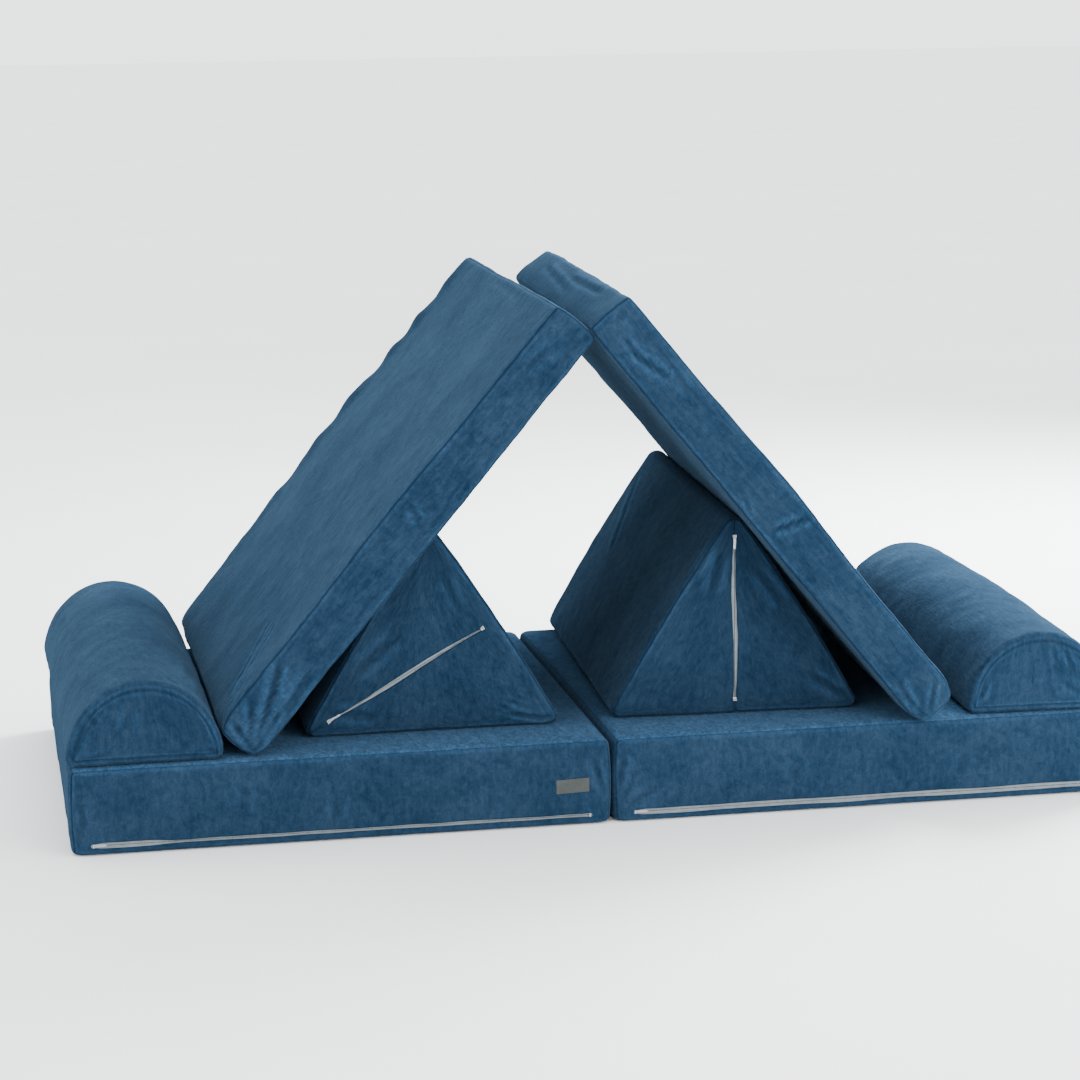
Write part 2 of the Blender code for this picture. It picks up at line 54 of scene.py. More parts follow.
# Sizes of the modules, as in the CAD source
SLAB_HALF, SLAB_HEIGHT = 0.419, 0.135
MAT_HALF, MAT_THICKNESS = 0.416, 0.085
WEDGE_HALF, WEDGE_HALF_LENGTH, WEDGE_SLOPE = 0.2099190, 0.360, radians(58)
WEDGE_CORNER, WEDGE_TOP_CORNER = 0.013, 0.020
WEDGE_RIDGE = WEDGE_HALF * tan(WEDGE_SLOPE) - WEDGE_TOP_CORNER / cos(WEDGE_SLOPE)
WEDGE_HEIGHT = WEDGE_RIDGE + WEDGE_TOP_CORNER
BOLSTER_HALF, BOLSTER_HALF_LENGTH, BOLSTER_CORNER = 0.1199713, 0.410, 0.014
BOLSTER_RISE, BOLSTER_CROWN = 0.128, 0.010

# Roundings of side, top and bottom edges, and of an end panel with its ring; then what softens a form
SLAB_ROUNDS, MAT_ROUNDS = (0.017, 0.011, 0.008), (0.011, 0.009, 0.009)
WEDGE_END, BOLSTER_END = (0.010, 0.012), (0.012, 0.013)
SIDE_BULGE, SLOPE_CROWN = 3 * MM, 0.004
MAT_CROWN, MAT_BEND, MAT_LUMPS = 4 * MM, 4.5 * MM, 8.5 * MM
MAT_PINCH, MAT_PINCH_LEVEL = 0.22, 0.036
TWIST_FOOT, TWIST_PEAK = 8 * MM, 9 * MM
BOLSTER_SEAM_INSET = 0.011

# How far cloth moves: its waves and puckers, a seam's lips and its sunk thread
BROAD_WAVE, SMALL_WAVE, PUCKER = 1.1 * MM, 0.45 * MM, 0.6 * MM
SEAM_LIP, SEAM_SINK, ZIP_SEAM_SINK = 0.45 * MM, 1.1 * MM, 1.6 * MM

# Cuts of a block, in millimetres from its edges and in metres apart
COVER_CUTS, CORE_CUTS, CORE_STEP = (3, 7, 12, 18, 26, 36, 48), (6, 14, 30), 0.035

# A zip's pocket, tape, teeth, tacks and slider, in the zip's own frame
SLOT_MOUTH, SLOT_DEPTH, ZIP_REACH, ZIP_MARGIN = 3.5 * MM, 6.6 * MM, 0.02, 0.022
TAPE_INNER, TAPE_OUTER, TAPE_PAST_SLOT = 0.52 * MM, 6.8 * MM, 8 * MM
TAPE_BACK, TAPE_FACE = -3.6 * MM, -2.8 * MM
TOOTH_HALF, TOOTH_PITCH, TOOTH_LEVEL = (0.75 * MM, 1.35 * MM, 0.5 * MM), 3.6 * MM, -4.2 * MM
TACK_HALF_WIDTH, TACK_WRAPS = 0.9 * MM, 22
RUNNER_HALF, STOP_LENGTH, END_ROOM = 9 * MM, 3 * MM, 0.6 * MM

# Room between foam and cover, more of it behind the zip, and how much slimmer a wedge's foam is
CORE_ROOM, CORE_ZIP_ROOM, WEDGE_CORE_SLIM = 6.0 * MM, 3.0 * MM, 0.97


def module_place(x, y, z, turn=0, lean=0):
    """A module's frame: its origin, its turn about the upright and its lean, in degrees."""
    upright = Matrix.Translation((x, y, z)) @ Matrix.Rotation(radians(turn), 4, "Z")
    return upright @ Matrix.Rotation(radians(lean), 4, "Y")


PLACES = {
    "base_left": module_place(-0.41915, 0, 0),
    "base_right": module_place(0.41915, 0, 0),
    "mat_left": module_place(-0.280588, 0.016, 0.44408, 0, -49.6),
    "mat_right": module_place(0.251449, -0.002211, 0.451028, -2.8, 51.1),
    "wedge_left": module_place(-0.262937, 0.058, 0.1353),
    "wedge_right": module_place(0.242478, 0.0588, 0.1353, -2.8),
    "bolster_left": module_place(-0.72256, 0.005, 0.1353, 0.5),
    "bolster_right": module_place(0.712899, 0.005, 0.1353, -1.9),
}


def kind_of(module):
    return module.split("_")[0]


def number_of(module):
    """A module's own number, from which its waves and folds are drawn."""
    return sorted(PLACES).index(module)


def zip_place(origin, along, outward):
    """A zip's frame in its module: X along the zip and Z out of the cover."""
    along, outward = Vector(along).normalized(), Vector(outward).normalized()
    turn = Matrix((along, outward.cross(along), outward)).transposed().to_4x4()
    return Matrix.Translation(origin) @ turn


# Each zip's frame and the length of its slot
BASE_ZIP = zip_place((0, -0.416636, 0.0157), (1, 0, 0), (0, -0.996609, -0.082289)), 0.77
MAT_ZIP = zip_place((0, 0.41552, 0.0405), (-1, 0, 0), (0, 1, 0)), 0.712
BOLSTER_ZIP = zip_place((0, 0, 0), (0, 1, 0), (0, 0, -1)), 0.70
ZIPS = {
    "base_left": BASE_ZIP, "base_right": BASE_ZIP,
    "mat_left": MAT_ZIP, "mat_right": MAT_ZIP,
    "wedge_left": (zip_place((-0.041927, -0.36, 0.09312), (0.87462, 0, 0.48481), (0, -1, 0)), 0.2815598),
    "wedge_right": (zip_place((0, -0.36, 0.155965), (0, 0, -1), (0, -1, 0)), 0.2653296),
    "bolster_left": BOLSTER_ZIP, "bolster_right": BOLSTER_ZIP,
}


# Blocks, cuts and points

def pick(*pieces):
    """Select these pieces alone, with the first one active."""
    bpy.ops.object.select_all(action="DESELECT")
    for piece in pieces:
        piece.select_set(True)
    if pieces:
        bpy.context.view_layer.objects.active = pieces[0]


def active_piece(name):
    piece = bpy.context.object
    piece.name = piece.data.name = name
    return piece


def block(name, low, high):
    """A closed block between two corners."""
    pick()
    centre = [(a + b) / 2 for a, b in zip(low, high)]
    size = [b - a for a, b in zip(low, high)]
    bpy.ops.mesh.primitive_cube_add(size=1, location=centre, scale=size)
    piece = active_piece(name)
    bpy.ops.object.transform_apply(location=True, rotation=True, scale=True)
    return piece


def cut_across(cuts):
    """Cut the active piece right through by planes, each a point and a normal."""
    bpy.ops.object.mode_set(mode="EDIT")
    for point, normal in cuts:
        bpy.ops.mesh.select_all(action="SELECT")
        bpy.ops.mesh.bisect(plane_co=point, plane_no=normal)
    bpy.ops.object.mode_set(mode="OBJECT")


def panel_cuts(low, high, step, near):
    """Places to cut a panel: close together beside its two seams and evenly in between."""
    edge = [n * MM for n in near if n * MM < (high - low) / 2 - step / 3]
    first, last = low + edge[-1], high - edge[-1]
    count = max(1, round((last - first) / step))
    middle = [first + (last - first) * i / count for i in range(1, count)]
    return [low + e for e in edge] + middle + [high - e for e in reversed(edge)]


def cut_block(name, low, high, step, near):
    """A block cut across along its three axes, with its cuts closer together beside its edges."""
    piece = block(name, low, high)
    normals = [[float(axis == k) for k in range(3)] for axis in range(3)]
    cut_across([([place * n for n in normals[axis]], normals[axis])
                for axis in (2, 1, 0) for place in panel_cuts(low[axis], high[axis], step, near)])
    return piece


def bar(name, low, high, cuts_along):
    """A flat bar along X, cut across evenly so that it can wave."""
    piece = block(name, low, high)
    length = high[0] - low[0]
    cut_across([((low[0] + length * k / cuts_along, 0, 0), (1, 0, 0)) for k in range(1, cuts_along)])
    return piece


def joined(name, parts):
    pick(*parts)
    bpy.ops.object.join()
    return active_piece(name)


def read_vectors(rows, name):
    found = np.zeros(len(rows) * 3, np.float32)
    rows.foreach_get(name, found)
    return found.reshape(-1, 3).astype(float)


def read_numbers(rows, name):
    found = np.zeros(len(rows), np.int32)
    rows.foreach_get(name, found)
    return found


def points_of(piece):
    return read_vectors(piece.data.vertices, "co")


def set_points(piece, points):
    piece.data.vertices.foreach_set("co", points.astype(np.float32).ravel())
    piece.data.update()


def put(piece, place):
    """Set a piece's mesh in its place, with its object at the origin."""
    turn = np.array(place)
    set_points(piece, points_of(piece) @ turn[:3, :3].T + turn[:3, 3])


def keep(piece, name, values):
    """Keep a number or a vector with each point of a piece."""
    kind, field = ("FLOAT", "value") if values.ndim == 1 else ("FLOAT_VECTOR", "vector")
    found = piece.data.attributes.new(name, kind, "POINT")
    found.data.foreach_set(field, values.astype(np.float32).ravel())


def seat_of(piece):
    """Where each point lay on the flat panels."""
    return read_vectors(piece.data.attributes["seat"].data, "vector")


def apply_modifier(piece, kind, **settings):
    pick(piece)
    modifier = piece.modifiers.new("step", kind)
    for key, value in settings.items():
        setattr(modifier, key, value)
    bpy.ops.object.modifier_apply(modifier=modifier.name)


def round_edges(piece, width):
    apply_modifier(piece, "BEVEL", width=width, segments=2, limit_method="ANGLE")


def subdivide(piece):
    apply_modifier(piece, "SUBSURF", levels=1, render_levels=1)


# Forms

def rounded_slab(seat, half, height, side_round, top_round, bottom_round):
    """A square slab with rounded sides, top edge and bottom edge."""
    low = np.array([side_round - half, side_round - half, bottom_round])
    high = np.array([half - side_round, half - side_round, height - top_round])
    inner = np.clip(seat, low, high)
    away = seat - inner
    radii = np.full(seat.shape, side_round)
    radii[:, 2] = np.where(away[:, 2] > 0, top_round, bottom_round)
    share = away / radii
    share /= np.linalg.norm(share, axis=1)[:, None]
    return inner + share * radii


def arc(centre, radius, start, end, steps=10):
    turns = np.radians(np.linspace(start, end, steps + 1))
    return np.stack([centre[0] + radius * np.cos(turns), centre[1] + radius * np.sin(turns)], 1)


def crowned_line(start, end, crown):
    """Points between two others, raised to the left of the way by a crown."""
    share = np.linspace(0, 1, 25)[:, None]
    way = np.array(end) - np.array(start)
    normal = np.array([-way[1], way[0]]) / np.hypot(*way)
    return np.array(start) + way * share + normal * crown * 4 * share * (1 - share)


def wedge_sides():
    """Bottom, right slope, rounded top and left slope of the triangle."""
    half_slope, slope_faces, ridge_from = 29, 32, 60
    across = WEDGE_HALF - WEDGE_CORNER / tan(WEDGE_SLOPE / 2)
    low_right, top = np.array([across, WEDGE_CORNER]), np.array([0.0, WEDGE_RIDGE])
    bottom = np.concatenate([arc((-across, WEDGE_CORNER), WEDGE_CORNER, 180 + half_slope, 270),
                             arc(low_right, WEDGE_CORNER, -90, -half_slope)])
    lower = arc(low_right, WEDGE_CORNER, -half_slope, slope_faces)
    upper = arc(top, WEDGE_TOP_CORNER, slope_faces, ridge_from)
    slope = crowned_line(lower[-1], upper[0], -SLOPE_CROWN)
    right = np.concatenate([lower[:-1], slope, upper[1:]])
    ridge = arc(top, WEDGE_TOP_CORNER, 180 - ridge_from, ridge_from, 16)
    return [bottom, right, ridge, right * (-1, 1)]


def bolster_sides():
    """Bottom, right, top and left of the half round."""
    corner = BOLSTER_CORNER
    across = sqrt((BOLSTER_HALF - corner) ** 2 - corner ** 2)
    low_left, low_right, tilt = (-across, corner), (across, corner), np.degrees(atan(corner / across))
    bottom = np.concatenate([arc(low_left, corner, 225, 270), arc(low_right, corner, -90, -45)])
    right = np.concatenate([arc(low_right, corner, -45, tilt)[:-1], arc((0, 0), BOLSTER_HALF, tilt, 45, 16)])
    top = arc((0, 0), BOLSTER_HALF, 135, 45, 24)
    return [bottom, right, top, right * (-1, 1)]


def along_side(sides, which, share):
    """Place and outward normal at a share of a side's length: the bottom, right, top or left side, each
    of which runs left to right or upwards."""
    points = sides[which]
    steps = np.hypot(*np.diff(points, axis=0).T)
    reach = np.concatenate([[0], np.cumsum(steps)])
    reach /= reach[-1]
    apart = np.concatenate([[True], np.diff(reach) > 1e-9])
    points, reach = points[apart], reach[apart]
    tangent = np.gradient(points, reach, axis=0)
    normal = np.stack([tangent[:, 1], -tangent[:, 0]], 1) * (1 if which < 2 else -1)
    normal /= np.linalg.norm(normal, axis=1)[:, None]
    place = np.stack([np.interp(share, reach, points[:, k]) for k in (0, 1)], 1)
    outward = np.stack([np.interp(share, reach, normal[:, k]) for k in (0, 1)], 1)
    return place, outward / np.linalg.norm(outward, axis=1)[:, None]


def outline_at(sides, side, share):
    place, outward = np.zeros((len(share), 2)), np.zeros((len(share), 2))
    for k in range(4):
        found = side == k
        if found.any():
            place[found], outward[found] = along_side(sides, k, share[found])
    return place, outward


def long_form(seat, sides, half_width, height, half_length, end_round, ring):
    """A block's points moved to a form with one outline all along and two rounded end panels."""
    x, y, z = seat.T
    gaps = np.stack([z, half_width - x, height - z, half_width + x], 1)
    side = gaps.argmin(1)
    depth = np.clip(gaps.min(1), 0, ring)
    wide = x * half_width / (half_width - depth)
    tall = (z - height / 2) * (height / 2) / (height / 2 - depth) + height / 2
    share = np.where(side % 2 == 0, (wide + half_width) / (2 * half_width), tall / height)
    place, outward = outline_at(sides, side, np.clip(share, 0, 1))
    from_end = half_length - np.abs(y)
    sunk = np.clip((end_round - depth) / end_round, 0, 1)
    reach = np.clip((end_round - from_end) / end_round, 0, 1)
    length = np.maximum(np.hypot(sunk, reach), 1e-9)
    inset = np.where(depth < end_round, end_round * (1 - sunk / length), depth)
    inset = np.where(reach <= 0, 0, inset)
    made_y = np.sign(y) * (half_length - end_round + end_round * reach / length)
    made_y = np.where(reach <= 0, y, made_y)
    section = place - outward * inset[:, None]

    def inner(k, share):
        spot, out = along_side(sides, k, share)
        return spot - out * ring

    # Points inside an end panel's ring lie evenly between the ring's four sides
    inside = (from_end < 1e-6) & (gaps.min(1) > ring)
    u = (x[inside] + half_width - ring) / (2 * (half_width - ring))
    w = (z[inside] - ring) / (height - 2 * ring)
    right, up = u[:, None], w[:, None]
    left, down = 1 - right, 1 - up
    corners = [inner(k, np.full(1, end)) for k in (0, 2) for end in (0.0, 1.0)]
    section[inside] = (down * inner(0, u) + up * inner(2, u) + left * inner(3, w) + right * inner(1, w)
                       - left * down * corners[0] - right * down * corners[1]
                       - left * up * corners[2] - right * up * corners[3])
    return np.stack([section[:, 0], made_y, section[:, 1]], 1)


def pull_in_sides(points, height):
    """Sides are fullest at half height and pulled in at their sewn edges."""
    inset = SIDE_BULGE * (2 * points[:, 2] / height - 1) ** 2
    reach = np.abs(points[:, :2]).max()
    points[:, :2] *= ((reach - inset) / reach)[:, None]
    return points


def settle_mat(module, points):
    """A mat's crown, bend and pinched foot, the left mat's lumps and the right mat's twist."""
    x, y = points[:, 0] / MAT_HALF, points[:, 1] / MAT_HALF
    outer = np.clip(points[:, 2] / MAT_THICKNESS, 0, 1)
    crown = MAT_CROWN * np.clip(1 - x ** 2, 0, 1) * np.clip(1 - y ** 2, 0, 1)
    points[:, 2] += outer * (crown + MAT_BEND * hump(points[:, 0], 0.16) - MAT_CROWN)
    if module == "mat_left":
        lumps = np.clip(0.55 + 0.75 * soft_waves(points, 0.055, 41, (1, 0, 0)), 0, 1.5)
        points[:, 2] += MAT_LUMPS * outer * lumps * smooth_step(y, 0.88, 0.99) * smooth_step(x, -0.7, -0.2)
    foot = points[:, 0] * (1 if module == "mat_right" else -1)
    pinch = MAT_PINCH * smooth_step(foot, 0.372, MAT_HALF) ** 2
    front = smooth_step(-points[:, 1], 0.36, MAT_HALF) if module == "mat_left" else 0.6
    points[:, 2] -= (points[:, 2] - MAT_PINCH_LEVEL) * pinch * np.clip(0.45 + front, 0, 1)
    if module == "mat_right":
        back = np.clip((y + 1) / 2, 0, 1)
        slide = back * (TWIST_FOOT * smooth_step(points[:, 0], -0.02, MAT_HALF)
                        - TWIST_PEAK * smooth_step(-points[:, 0], 0.02, MAT_HALF))
        sideways = np.array(PLACES[module].to_3x3().inverted() @ Vector((1, 0, 0)))
        points += slide[:, None] * sideways
    return points


def form_of(module, seat):
    """The module's form for points on its flat panels."""
    kind = kind_of(module)
    if kind == "base":
        return pull_in_sides(rounded_slab(seat, SLAB_HALF, SLAB_HEIGHT, *SLAB_ROUNDS), SLAB_HEIGHT)
    if kind == "mat":
        made = rounded_slab(seat, MAT_HALF, MAT_THICKNESS, *MAT_ROUNDS)
        return settle_mat(module, pull_in_sides(made, MAT_THICKNESS))
    if kind == "wedge":
        return long_form(seat, wedge_sides(), WEDGE_HALF, WEDGE_HEIGHT, WEDGE_HALF_LENGTH, *WEDGE_END)
    made = long_form(seat, bolster_sides(), BOLSTER_HALF, BOLSTER_HALF, BOLSTER_HALF_LENGTH, *BOLSTER_END)
    rise = BOLSTER_RISE + BOLSTER_CROWN * (1 - (made[:, 1] / BOLSTER_HALF_LENGTH) ** 2)
    made[:, 2] *= rise / BOLSTER_HALF
    return made


def block_about(half_x, half_y, height, step):
    """Low and high corner of a block that stands on its frame's origin, and the step of its cuts."""
    return (-half_x, -half_y, 0), (half_x, half_y, height), step


BLOCKS = {
    "base": block_about(SLAB_HALF, SLAB_HALF, SLAB_HEIGHT, 0.0125),
    "mat": block_about(MAT_HALF, MAT_HALF, MAT_THICKNESS, 0.0125),
    "wedge": block_about(WEDGE_HALF, WEDGE_HALF_LENGTH, WEDGE_HEIGHT, 0.0125),
    "bolster": block_about(BOLSTER_HALF, BOLSTER_HALF_LENGTH, BOLSTER_HALF, 0.0115),
}


# Cloth: soft waves, seams, puckers and creases

def hump(value, width):
    """1 at nought and soft down to nothing at about twice the width."""
    return np.exp(-(value / width) ** 2)


def smooth_step(value, low, high):
    share = np.clip((value - low) / (high - low), 0, 1)
    return share * share * (3 - 2 * share)


def soft_waves(points, size, seed, stretch=(1, 1, 1)):
    """Smooth waves of about one size, mostly from -1 to 1, the same each time for one seed."""
    chance = np.random.default_rng(seed)
    total = np.zeros(len(points))
    for _ in range(18):
        way = chance.normal(size=3)
        way /= np.linalg.norm(way)
        turns = 2 * pi / (size * chance.uniform(0.7, 1.6))
        total += np.sin((points * np.array(stretch)) @ way * turns + chance.uniform(0, 2 * pi))
    return total / 6


def on_a_line(values):
    return np.stack([values, values * 0, values * 0], 1)


ALL_EDGES = [(a + m, b + n) for m, n in ("xy", "xz", "yz") for a in "-+" for b in "-+"]
LONG_EDGES = [(a + "y", b) for a in "-+" for b in ("-x", "+x", "-z", "+z")] + [("-x", "-z"), ("+x", "-z")]


def edge_of(seat, low, high, sewn):
    """Distance to the nearest sewn edge of the block and the place along it."""
    gaps = {}
    for axis, name in enumerate("xyz"):
        gaps["-" + name] = seat[:, axis] - low[axis]
        gaps["+" + name] = high[axis] - seat[:, axis]
    distance, along = np.full(len(seat), 1.0), np.zeros(len(seat))
    for index, (a, b) in enumerate(sewn):
        reach = np.hypot(gaps[a], gaps[b])
        third = 3 - "xyz".index(a[1]) - "xyz".index(b[1])
        closer = reach < distance
        distance = np.where(closer, reach, distance)
        along = np.where(closer, seat[:, third] + 3.1 * index, along)
    return distance, along


def seam_distance(module, seat):
    """Distance to the nearest seam and the place along it."""
    kind = kind_of(module)
    low, high, _ = BLOCKS[kind]
    distance, along = edge_of(seat, low, high, ALL_EDGES if kind in ("base", "mat") else LONG_EDGES)
    if kind == "bolster":
        from_side, from_end = (np.minimum(seat[:, k] - low[k], high[k] - seat[:, k]) for k in (0, 1))
        depth = np.minimum.reduce([from_side, seat[:, 2] - low[2], high[2] - seat[:, 2]])
        on_end = np.hypot(from_end, np.abs(depth - BOLSTER_SEAM_INSET) + 1e-9)
        distance = np.minimum(on_end, np.hypot(seat[:, 2], from_side))
    return distance, along


def crease(points, start, end, width, depth):
    """A fold between two points: a hollow with a soft ridge on both sides, thinning out at its ends."""
    start, end = np.array(start, float), np.array(end, float)
    way = end - start
    share = np.clip(((points - start) @ way) / (way @ way), 0, 1)
    away = np.linalg.norm(points - start - share[:, None] * way, axis=1)
    strength = np.minimum(smooth_step(share, -1e-6, 0.25), smooth_step(1 - share, -1e-6, 0.25))
    return strength * depth * (0.6 * hump(away - 1.6 * width, width) - hump(away, width))


def corner_folds(module):
    """Short folds that run out from the corners of a cover, the same each time for one module."""
    low, high, _ = BLOCKS[kind_of(module)]
    middle = (np.array(low) + np.array(high)) / 2
    chance = np.random.default_rng(17 + number_of(module))
    folds = []
    for corner in product(*zip(low, high)):
        toward = np.sign(middle - corner)
        for _ in range(3):
            flat = chance.integers(0, 3)
            way = toward * chance.uniform(0.25, 1.0, 3)
            way[flat] = 0
            way /= np.linalg.norm(way)
            reach = min(chance.uniform(0.035, 0.095), 0.8 * (high[2] - low[2]))
            start = corner + way * chance.uniform(0.012, 0.022)
            width, depth = chance.uniform(3.5, 6.0) * MM, chance.uniform(0.5, 1.5) * MM
            folds.append((start, start + way * reach, width, depth))
    return folds


def bottom(points, normals):
    return smooth_step(-normals[:, 2], 0.5, 0.9)


def side_towards(sign):
    """The side that faces along X, or against it."""
    def found(points, normals):
        return smooth_step(normals[:, 0] * sign, 0.3, 0.8)
    return found


def top_under(*footprints):
    """Where something stands on a slab: footprints are (x low, x high, y low, y high) in its frame."""
    def found(points, normals):
        near = np.zeros(len(points))
        for x0, x1, y0, y1 in footprints:
            x, y, _ = points.T
            out = np.maximum.reduce([x0 - x, x - x1, y0 - y, y - y1])
            near = np.maximum(near, 1 - smooth_step(out, 0, 0.02))
        return near * smooth_step(normals[:, 2], 0.3, 0.8)
    return found


def beside_line(x, z, reach):
    """Close to a line along Y in the module's frame."""
    def found(points, normals):
        near = 1 - smooth_step(np.hypot(points[:, 0] - x, points[:, 2] - z), reach * 0.5, reach)
        return near * (1 - smooth_step(np.abs(normals[:, 1]), 0.4, 0.8))
    return found


def mat_rests(ridge, foot):
    """A mat rests on its wedge's ridge, on the slab at its foot and against the other mat at its peak."""
    return [beside_line(ridge, 0, 0.09), beside_line(foot, 0.004, 0.03), beside_line(-foot, 0.004, 0.035)]


# Where each cover touches the floor or another module, and so lies still
CONTACTS = {
    "base_left": [bottom, side_towards(1), top_under(
        (-0.43, -0.19, -0.41, 0.42), (-0.06, 0.40, -0.46, 0.42), (-0.20, -0.10, -0.41, 0.44))],
    "base_right": [bottom, side_towards(-1), top_under(
        (0.17, 0.43, -0.41, 0.42), (-0.45, 0.07, -0.46, 0.43), (0.06, 0.18, -0.44, 0.43))],
    "mat_left": mat_rests(0.003, foot=-0.410),
    "mat_right": mat_rests(0.006, foot=0.410),
    "wedge_left": [bottom, beside_line(0, 0.30, 0.05)],
    "wedge_right": [bottom, beside_line(0, 0.30, 0.05)],
    "bolster_left": [bottom],
    "bolster_right": [bottom],
}


def folds(*rows):
    """Folds from rows in millimetres: x, y and z of the start and of the end, then width and depth."""
    rows = [[n * MM for n in row] for row in rows]
    return [(row[:3], row[3:6], *row[6:]) for row in rows]


def on_front(y, *rows):
    """Folds on a front face, from rows that leave out y."""
    return folds(*((x0, y, z0, x1, y, z1, *size) for x0, z0, x1, z1, *size in rows))


# The folds that stand out on each cover
CREASES = {
    "mat_left": on_front(
        -416,
        (-272, 70, -335, 40, 6, 5), (-312, 50, -402, 16, 5.5, 5.2), (-318, 26, -407, 10, 4.5, 4.2),
        (-345, 68, -404, 20, 5, 4.4), (-388, 72, -405, 16, 4.5, 3.8), (-245, 24, -350, 10, 7, 2.6),
        (38, 70, 24, 34, 4.5, 2.6), (100, 52, 85, 30, 5, 0.9), (300, 60, 380, 40, 6, 1.2)) + folds(
        (-240, -230, 85, -388, -345, 83, 5, 3.4), (-225, -262, 85, -384, -372, 83, 4.5, 3),
        (-300, -330, 85, -386, -394, 82, 4, 2.6), (395, -200, 85, 402, 100, 83, 6, 1.2)),
    "mat_right": on_front(
        -416,
        (15, 18, 38, 80, 4.5, 4.5), (-52, 17, -28, 10, 3.5, 2.2), (-355, 26, -262, 50, 5, 3.8),
        (-376, 36, -320, 28, 4, 2.2), (-300, 60, -230, 56, 5, 1.6), (330, 20, 395, 12, 4.5, 2.2),
        (370, 70, 404, 30, 4, 2.6)) + folds(
        (-416, -300, 60, -416, 50, 50, 6, 2.2), (-416, -100, 30, -416, 300, 45, 6, 2.2)),
    "wedge_left": on_front(
        -360,
        (92, 22, 158, 56, 3.5, 2.6), (112, 26, 188, 6, 4, 2.6), (140, 18, 192, 12, 4, 2.1),
        (-125, 98, -52, 160, 8, 1.9), (-170, 40, -90, 30, 7, 1.9), (45, 190, 20, 250, 6, 1.6)),
    "wedge_right": on_front(
        -360,
        (-40, 285, -72, 225, 8, 2.6), (-18, 270, -40, 190, 7, 2.1), (30, 240, 85, 170, 7, 1.9),
        (120, 60, 185, 20, 6, 2.1)) + folds(
        (-30, 330, 280, -110, 180, 160, 9, 3.2)),
    "base_left": on_front(
        -419,
        (-6, 78, -18, 30, 7, 2.1), (-150, 100, -158, 50, 8, 1.4), (230, 60, 222, 30, 7, 1.4),
        (388, 110, 404, 50, 5, 2.4), (374, 50, 400, 16, 5, 2.4), (-404, 100, -396, 40, 5, 2.2)),
    "base_right": on_front(
        -419,
        (-400, 112, -411, 50, 6, 2.9), (-380, 90, -404, 30, 5, 2.2), (-360, 50, -400, 24, 5, 1.9),
        (-120, 90, -128, 45, 8, 1.3), (150, 80, 142, 40, 7, 1.3)),
    "bolster_left": on_front(
        -410,
        (-20, 90, -30, 50, 6, 1.4), (88, 20, 110, 12, 4, 2.4)) + folds(
        (60, -350, 100, 85, -200, 90, 9, 1.6)),
    "bolster_right": on_front(
        -410,
        (20, 108, 26, 78, 3.5, 1.9), (40, 102, 50, 72, 3.5, 1.9), (62, 92, 74, 64, 3.5, 1.9),
        (-90, 60, -98, 20, 5, 1.6)),
}


def mat_back(points, normals, seed):
    """Lumps along a mat's back side, and the scallops of its under edge there."""
    back = smooth_step(normals[:, 1], 0.2, 0.8)
    lumps = 2.2 + 2.6 * soft_waves(points, 0.055, seed + 5, (1, 1, 0.3))
    under = hump(points[:, 1] - MAT_HALF, 0.030) * smooth_step(-normals[:, 2], 0.2, 0.9)
    scallops = 2.0 + 2.6 * soft_waves(points, 0.060, seed + 6, (1, 0.2, 0))
    return MM * back * lumps * hump(points[:, 2] - 0.072, 0.016) - MM * under * scallops


def in_zip_frame(place, points):
    return (points - np.array(place.translation)) @ np.array(place.to_3x3())


def beside_zip(module, points, normals, seed):
    """Where the cloth lies flat round its zip, the raised lips of the slot, and a wedge's seam that
    runs on past the slot's ends."""
    place, slot = ZIPS[module]
    local = in_zip_frame(place, points)
    across = local[:, 1]
    beyond = np.maximum(np.abs(local[:, 0]) - slot / 2, 0)
    on_panel = np.abs(local[:, 2]) < ZIP_REACH
    faces = smooth_step(normals @ np.array(place.to_3x3())[:, 2], 0.4, 0.8)
    flat = hump(np.hypot(across, beyond), 0.012) * on_panel
    along_slot = hump(beyond, 0.004)
    both_lips = np.stack([local[:, 0], across * 0, np.sign(across) * 0.2], 1)
    wavy = 0.55 + 0.35 * soft_waves(both_lips, 0.030, seed + 8)
    lips = hump(np.abs(across) - 6 * MM, 2.4 * MM) * along_slot * faces * wavy * MM * on_panel
    seam = hump(across, 1.4 * MM) * (1 - along_slot) * faces * on_panel * (beyond < 0.05)
    return flat, lips * (not module.startswith("bolster")), seam * module.startswith("wedge")


